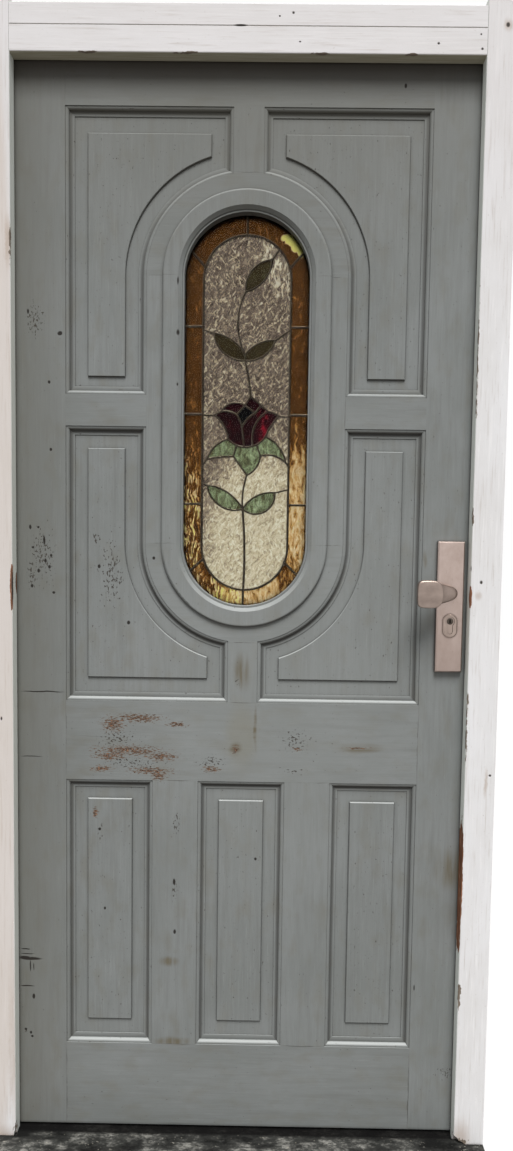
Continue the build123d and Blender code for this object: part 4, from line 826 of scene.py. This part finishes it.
SATIN = ("ab9990", "b9a8a0", 0.26)
plate = satin_metal(
    "aluminium_satin_anodised_plate", *SATIN, "z", "8d7d75", scratch=0.3, seam_shade=0.95, lower_reflection=(1.13, 1.02)
)
lever = satin_metal("aluminium_satin_anodised", *SATIN, "x", "96877f", scratch=0.3)
cast = satin_metal("aluminium_anodised_handled", "84766e", "9b8c83", 0.30, "x", "665b54", scratch=0.25)
guard = satin_metal("steel_satin_nickel", "98887f", "a8988e", 0.28, "z", "776b63", seam_shade=0.15)
steel = satin_metal("steel_zinc_plated", "8d8e90", "b4b6b8", 0.34, "z", "5a5249")
brass = satin_metal("brass_nickel_plated", "3e3833", "6b625a", 0.3, "y", "1f1b18")
wear("plate_outside plate_inside", plate)
wear("lever_inside", lever)
wear("knob_outside", cast)
wear("cylinder_guard cylinder_body", guard)
wear(
    "strike_plate hinge_plates_frame frame_screws hinge_pins hinge_plates_leaf hinge_screws_leaf lock_case "
    "lock_faceplate lock_screws plate_bolts latch_bolt deadbolt spindle follower",
    steel,
)
wear("cylinder_plug_outside cylinder_plug_inside cylinder_cam", brass)


# Knob, in mm: radius and place along X of its neck, half width of its pad, radius of its rim, and crown of its
# face
NECK, NECK_X, PAD, RIM, CROWN = 10.5, 405.0, 24.5, 3.5, 1.0

# Powers of the superellipse on the pad's far side, which is square, and on its near side, which is round
SQUARE, ROUND = 5.0, 2.7

# Stations along the neck, the swelling, the straight side and the rim, and points round each
ALONG_NECK, ALONG_SWELL, ALONG_SIDE, ALONG_RIM, AROUND = 3, 22, 4, 9, 72


def fixed_knob():
    """The cast knob in one skin. Along its length t its section is a superellipse: a circle of the neck's
    radius at the plate, whose half sizes grow in step with t while its middle slides sideways along a smooth
    step; the pad's far side is square with soft corners, its near side round. The rim then turns over
    a quarter circle to a face crowned by 1 mm."""
    low, high = [np.array(p) * 1000 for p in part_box("knob_outside")]
    half = np.array([PAD, (high[2] - low[2]) / 2])
    middle, height = low[0] + PAD, (low[2] + high[2]) / 2
    face, back = low[1], high[1]
    turn = np.linspace(0, 2 * np.pi, AROUND, endpoint=False)
    over = np.linspace(0, np.pi / 2, ALONG_RIM)
    before_rim = ALONG_NECK + ALONG_SWELL + ALONG_SIDE
    grow = np.concatenate(
        [np.zeros(ALONG_NECK), np.linspace(0, 1, ALONG_SWELL), np.ones(ALONG_SIDE + ALONG_RIM)]
    )
    deep = np.concatenate(
        [
            [back, back - 5, back - 9],
            np.linspace(back - 10, face + 13, ALONG_SWELL),
            np.linspace(face + 12, face + 5, ALONG_SIDE),
            face + CROWN + RIM - RIM * np.sin(over),
        ]
    )
    inset = np.concatenate([np.zeros(before_rim), RIM * (1 - np.cos(over))])
    size = NECK + (half[None, :] - NECK) * grow[:, None] - inset[:, None]
    slide = grow * grow * (3 - 2 * grow)
    centre = NECK_X + (middle - NECK_X) * slide
    corner = np.where(np.cos(turn) < 0, SQUARE, ROUND)
    power = 2 / (2 + (corner[None, :] - 2) * grow[:, None] ** 1.5)
    x = centre[:, None] + size[:, :1] * np.sign(np.cos(turn)) * np.abs(np.cos(turn)) ** power
    z = height + size[:, 1:] * np.sign(np.sin(turn)) * np.abs(np.sin(turn)) ** power
    y = np.repeat(deep[:, None], AROUND, axis=1)
    rings = np.stack([x, y, z], axis=-1)
    share = np.array([0.8, 0.5, 0.2])[:, None, None]
    heart = rings[-1].mean(axis=0)
    crown = heart + (rings[-1] - heart) * share
    crown[..., 1] = rings[-1, 0, 1] - CROWN * (1 - share[..., 0] ** 2)
    return skin("cast_knob", np.concatenate([rings, crown]), cast, "leaf")


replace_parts(fixed_knob(), "knob_outside")


# Studio: pale floor, one soft lamp high in front, and even light from all round

FLOOR_HALF = 9  # metres from the middle to each side
SUN_STRENGTH, SUN_WIDTH, SUN_TILT = 3.95, 30, (32, 3, 0)  # width and tilt in degrees
WORLD_LIGHT, WORLD_SEEN = 0.36, 1.0  # the strength that lights the part, and the one that is looked at


def looked_at(tree):
    """1 where the eye, a mirror or a pane looks straight at the surface, and 0 where it only lights others."""
    ray = add(tree, "LightPath")
    seen = add(tree, "Math", {0: (ray, "Is Camera Ray"), 1: (ray, "Is Glossy Ray")}, operation="MAXIMUM")
    return add(tree, "Math", {0: seen, 1: (ray, "Is Transmission Ray")}, operation="MAXIMUM")


def studio():
    """A floor that stays pale to the eye and keeps the shadow, a wide soft sun, and a white surround."""
    corners = [(x * FLOOR_HALF, y * FLOOR_HALF, 0) for x, y in ((-1, -1), (1, -1), (1, 1), (-1, 1))]
    floor = bpy.data.meshes.new("floor")
    floor.from_pydata(corners, [], [(0, 1, 2, 3)])
    ground = bpy.data.objects.new("floor", floor)
    bpy.context.scene.collection.objects.link(ground)
    made, tree, _ = new_finish("pale_studio_floor")
    half = add(tree, "Math", {0: looked_at(tree), 1: 0.5}, operation="MULTIPLY")
    matt = add(tree, "BsdfDiffuse", {"Color": linear("8c8a87")})
    white = add(tree, "Emission", {"Color": linear("ffffff"), "Strength": 1.7})
    add(tree, "OutputMaterial", {"Surface": add(tree, "MixShader", {0: half, 1: matt, 2: white})})
    floor.materials.append(made)

    world = bpy.data.worlds.new("even_light")
    bpy.context.scene.world = world
    world.use_nodes = True
    tree = world.node_tree
    tree.nodes.clear()
    strength = add(tree, "MapRange", {"Value": looked_at(tree), "To Min": WORLD_LIGHT, "To Max": WORLD_SEEN})
    glow = add(tree, "Background", {"Color": linear("ffffff"), "Strength": strength})
    add(tree, "OutputWorld", {"Surface": glow})

    lamp = bpy.data.lights.new("soft_sun", "SUN")
    lamp.energy = SUN_STRENGTH
    lamp.angle = math.radians(SUN_WIDTH)
    holder = bpy.data.objects.new("soft_sun", lamp)
    bpy.context.scene.collection.objects.link(holder)
    holder.rotation_euler = [math.radians(v) for v in SUN_TILT]


# The photograph's view: focal length and height in its pixels, place in metres, and turn in degrees
FOCAL, PHOTO_HEIGHT, SENSOR = 832.0, 1151, 36.0
EYE, TURN, SHIFT = (0.0475, -1.6367, 1.2518), (86.128, -0.798, 0.525), (-0.0035, 0.0222)


def camera():
    """The photograph's view: eye height, a little right of the middle, tilted slightly down."""
    lens = bpy.data.cameras.new("camera")
    lens.sensor_fit = "VERTICAL"
    lens.sensor_height = SENSOR
    lens.lens = FOCAL / PHOTO_HEIGHT * SENSOR
    lens.shift_x, lens.shift_y = SHIFT
    held = bpy.data.objects.new("camera", lens)
    bpy.context.scene.collection.objects.link(held)
    held.location = EYE
    held.rotation_euler = [math.radians(v) for v in TURN]
    bpy.context.scene.camera = held


studio()
camera()
bpy.context.scene.view_settings.view_transform = "Standard"
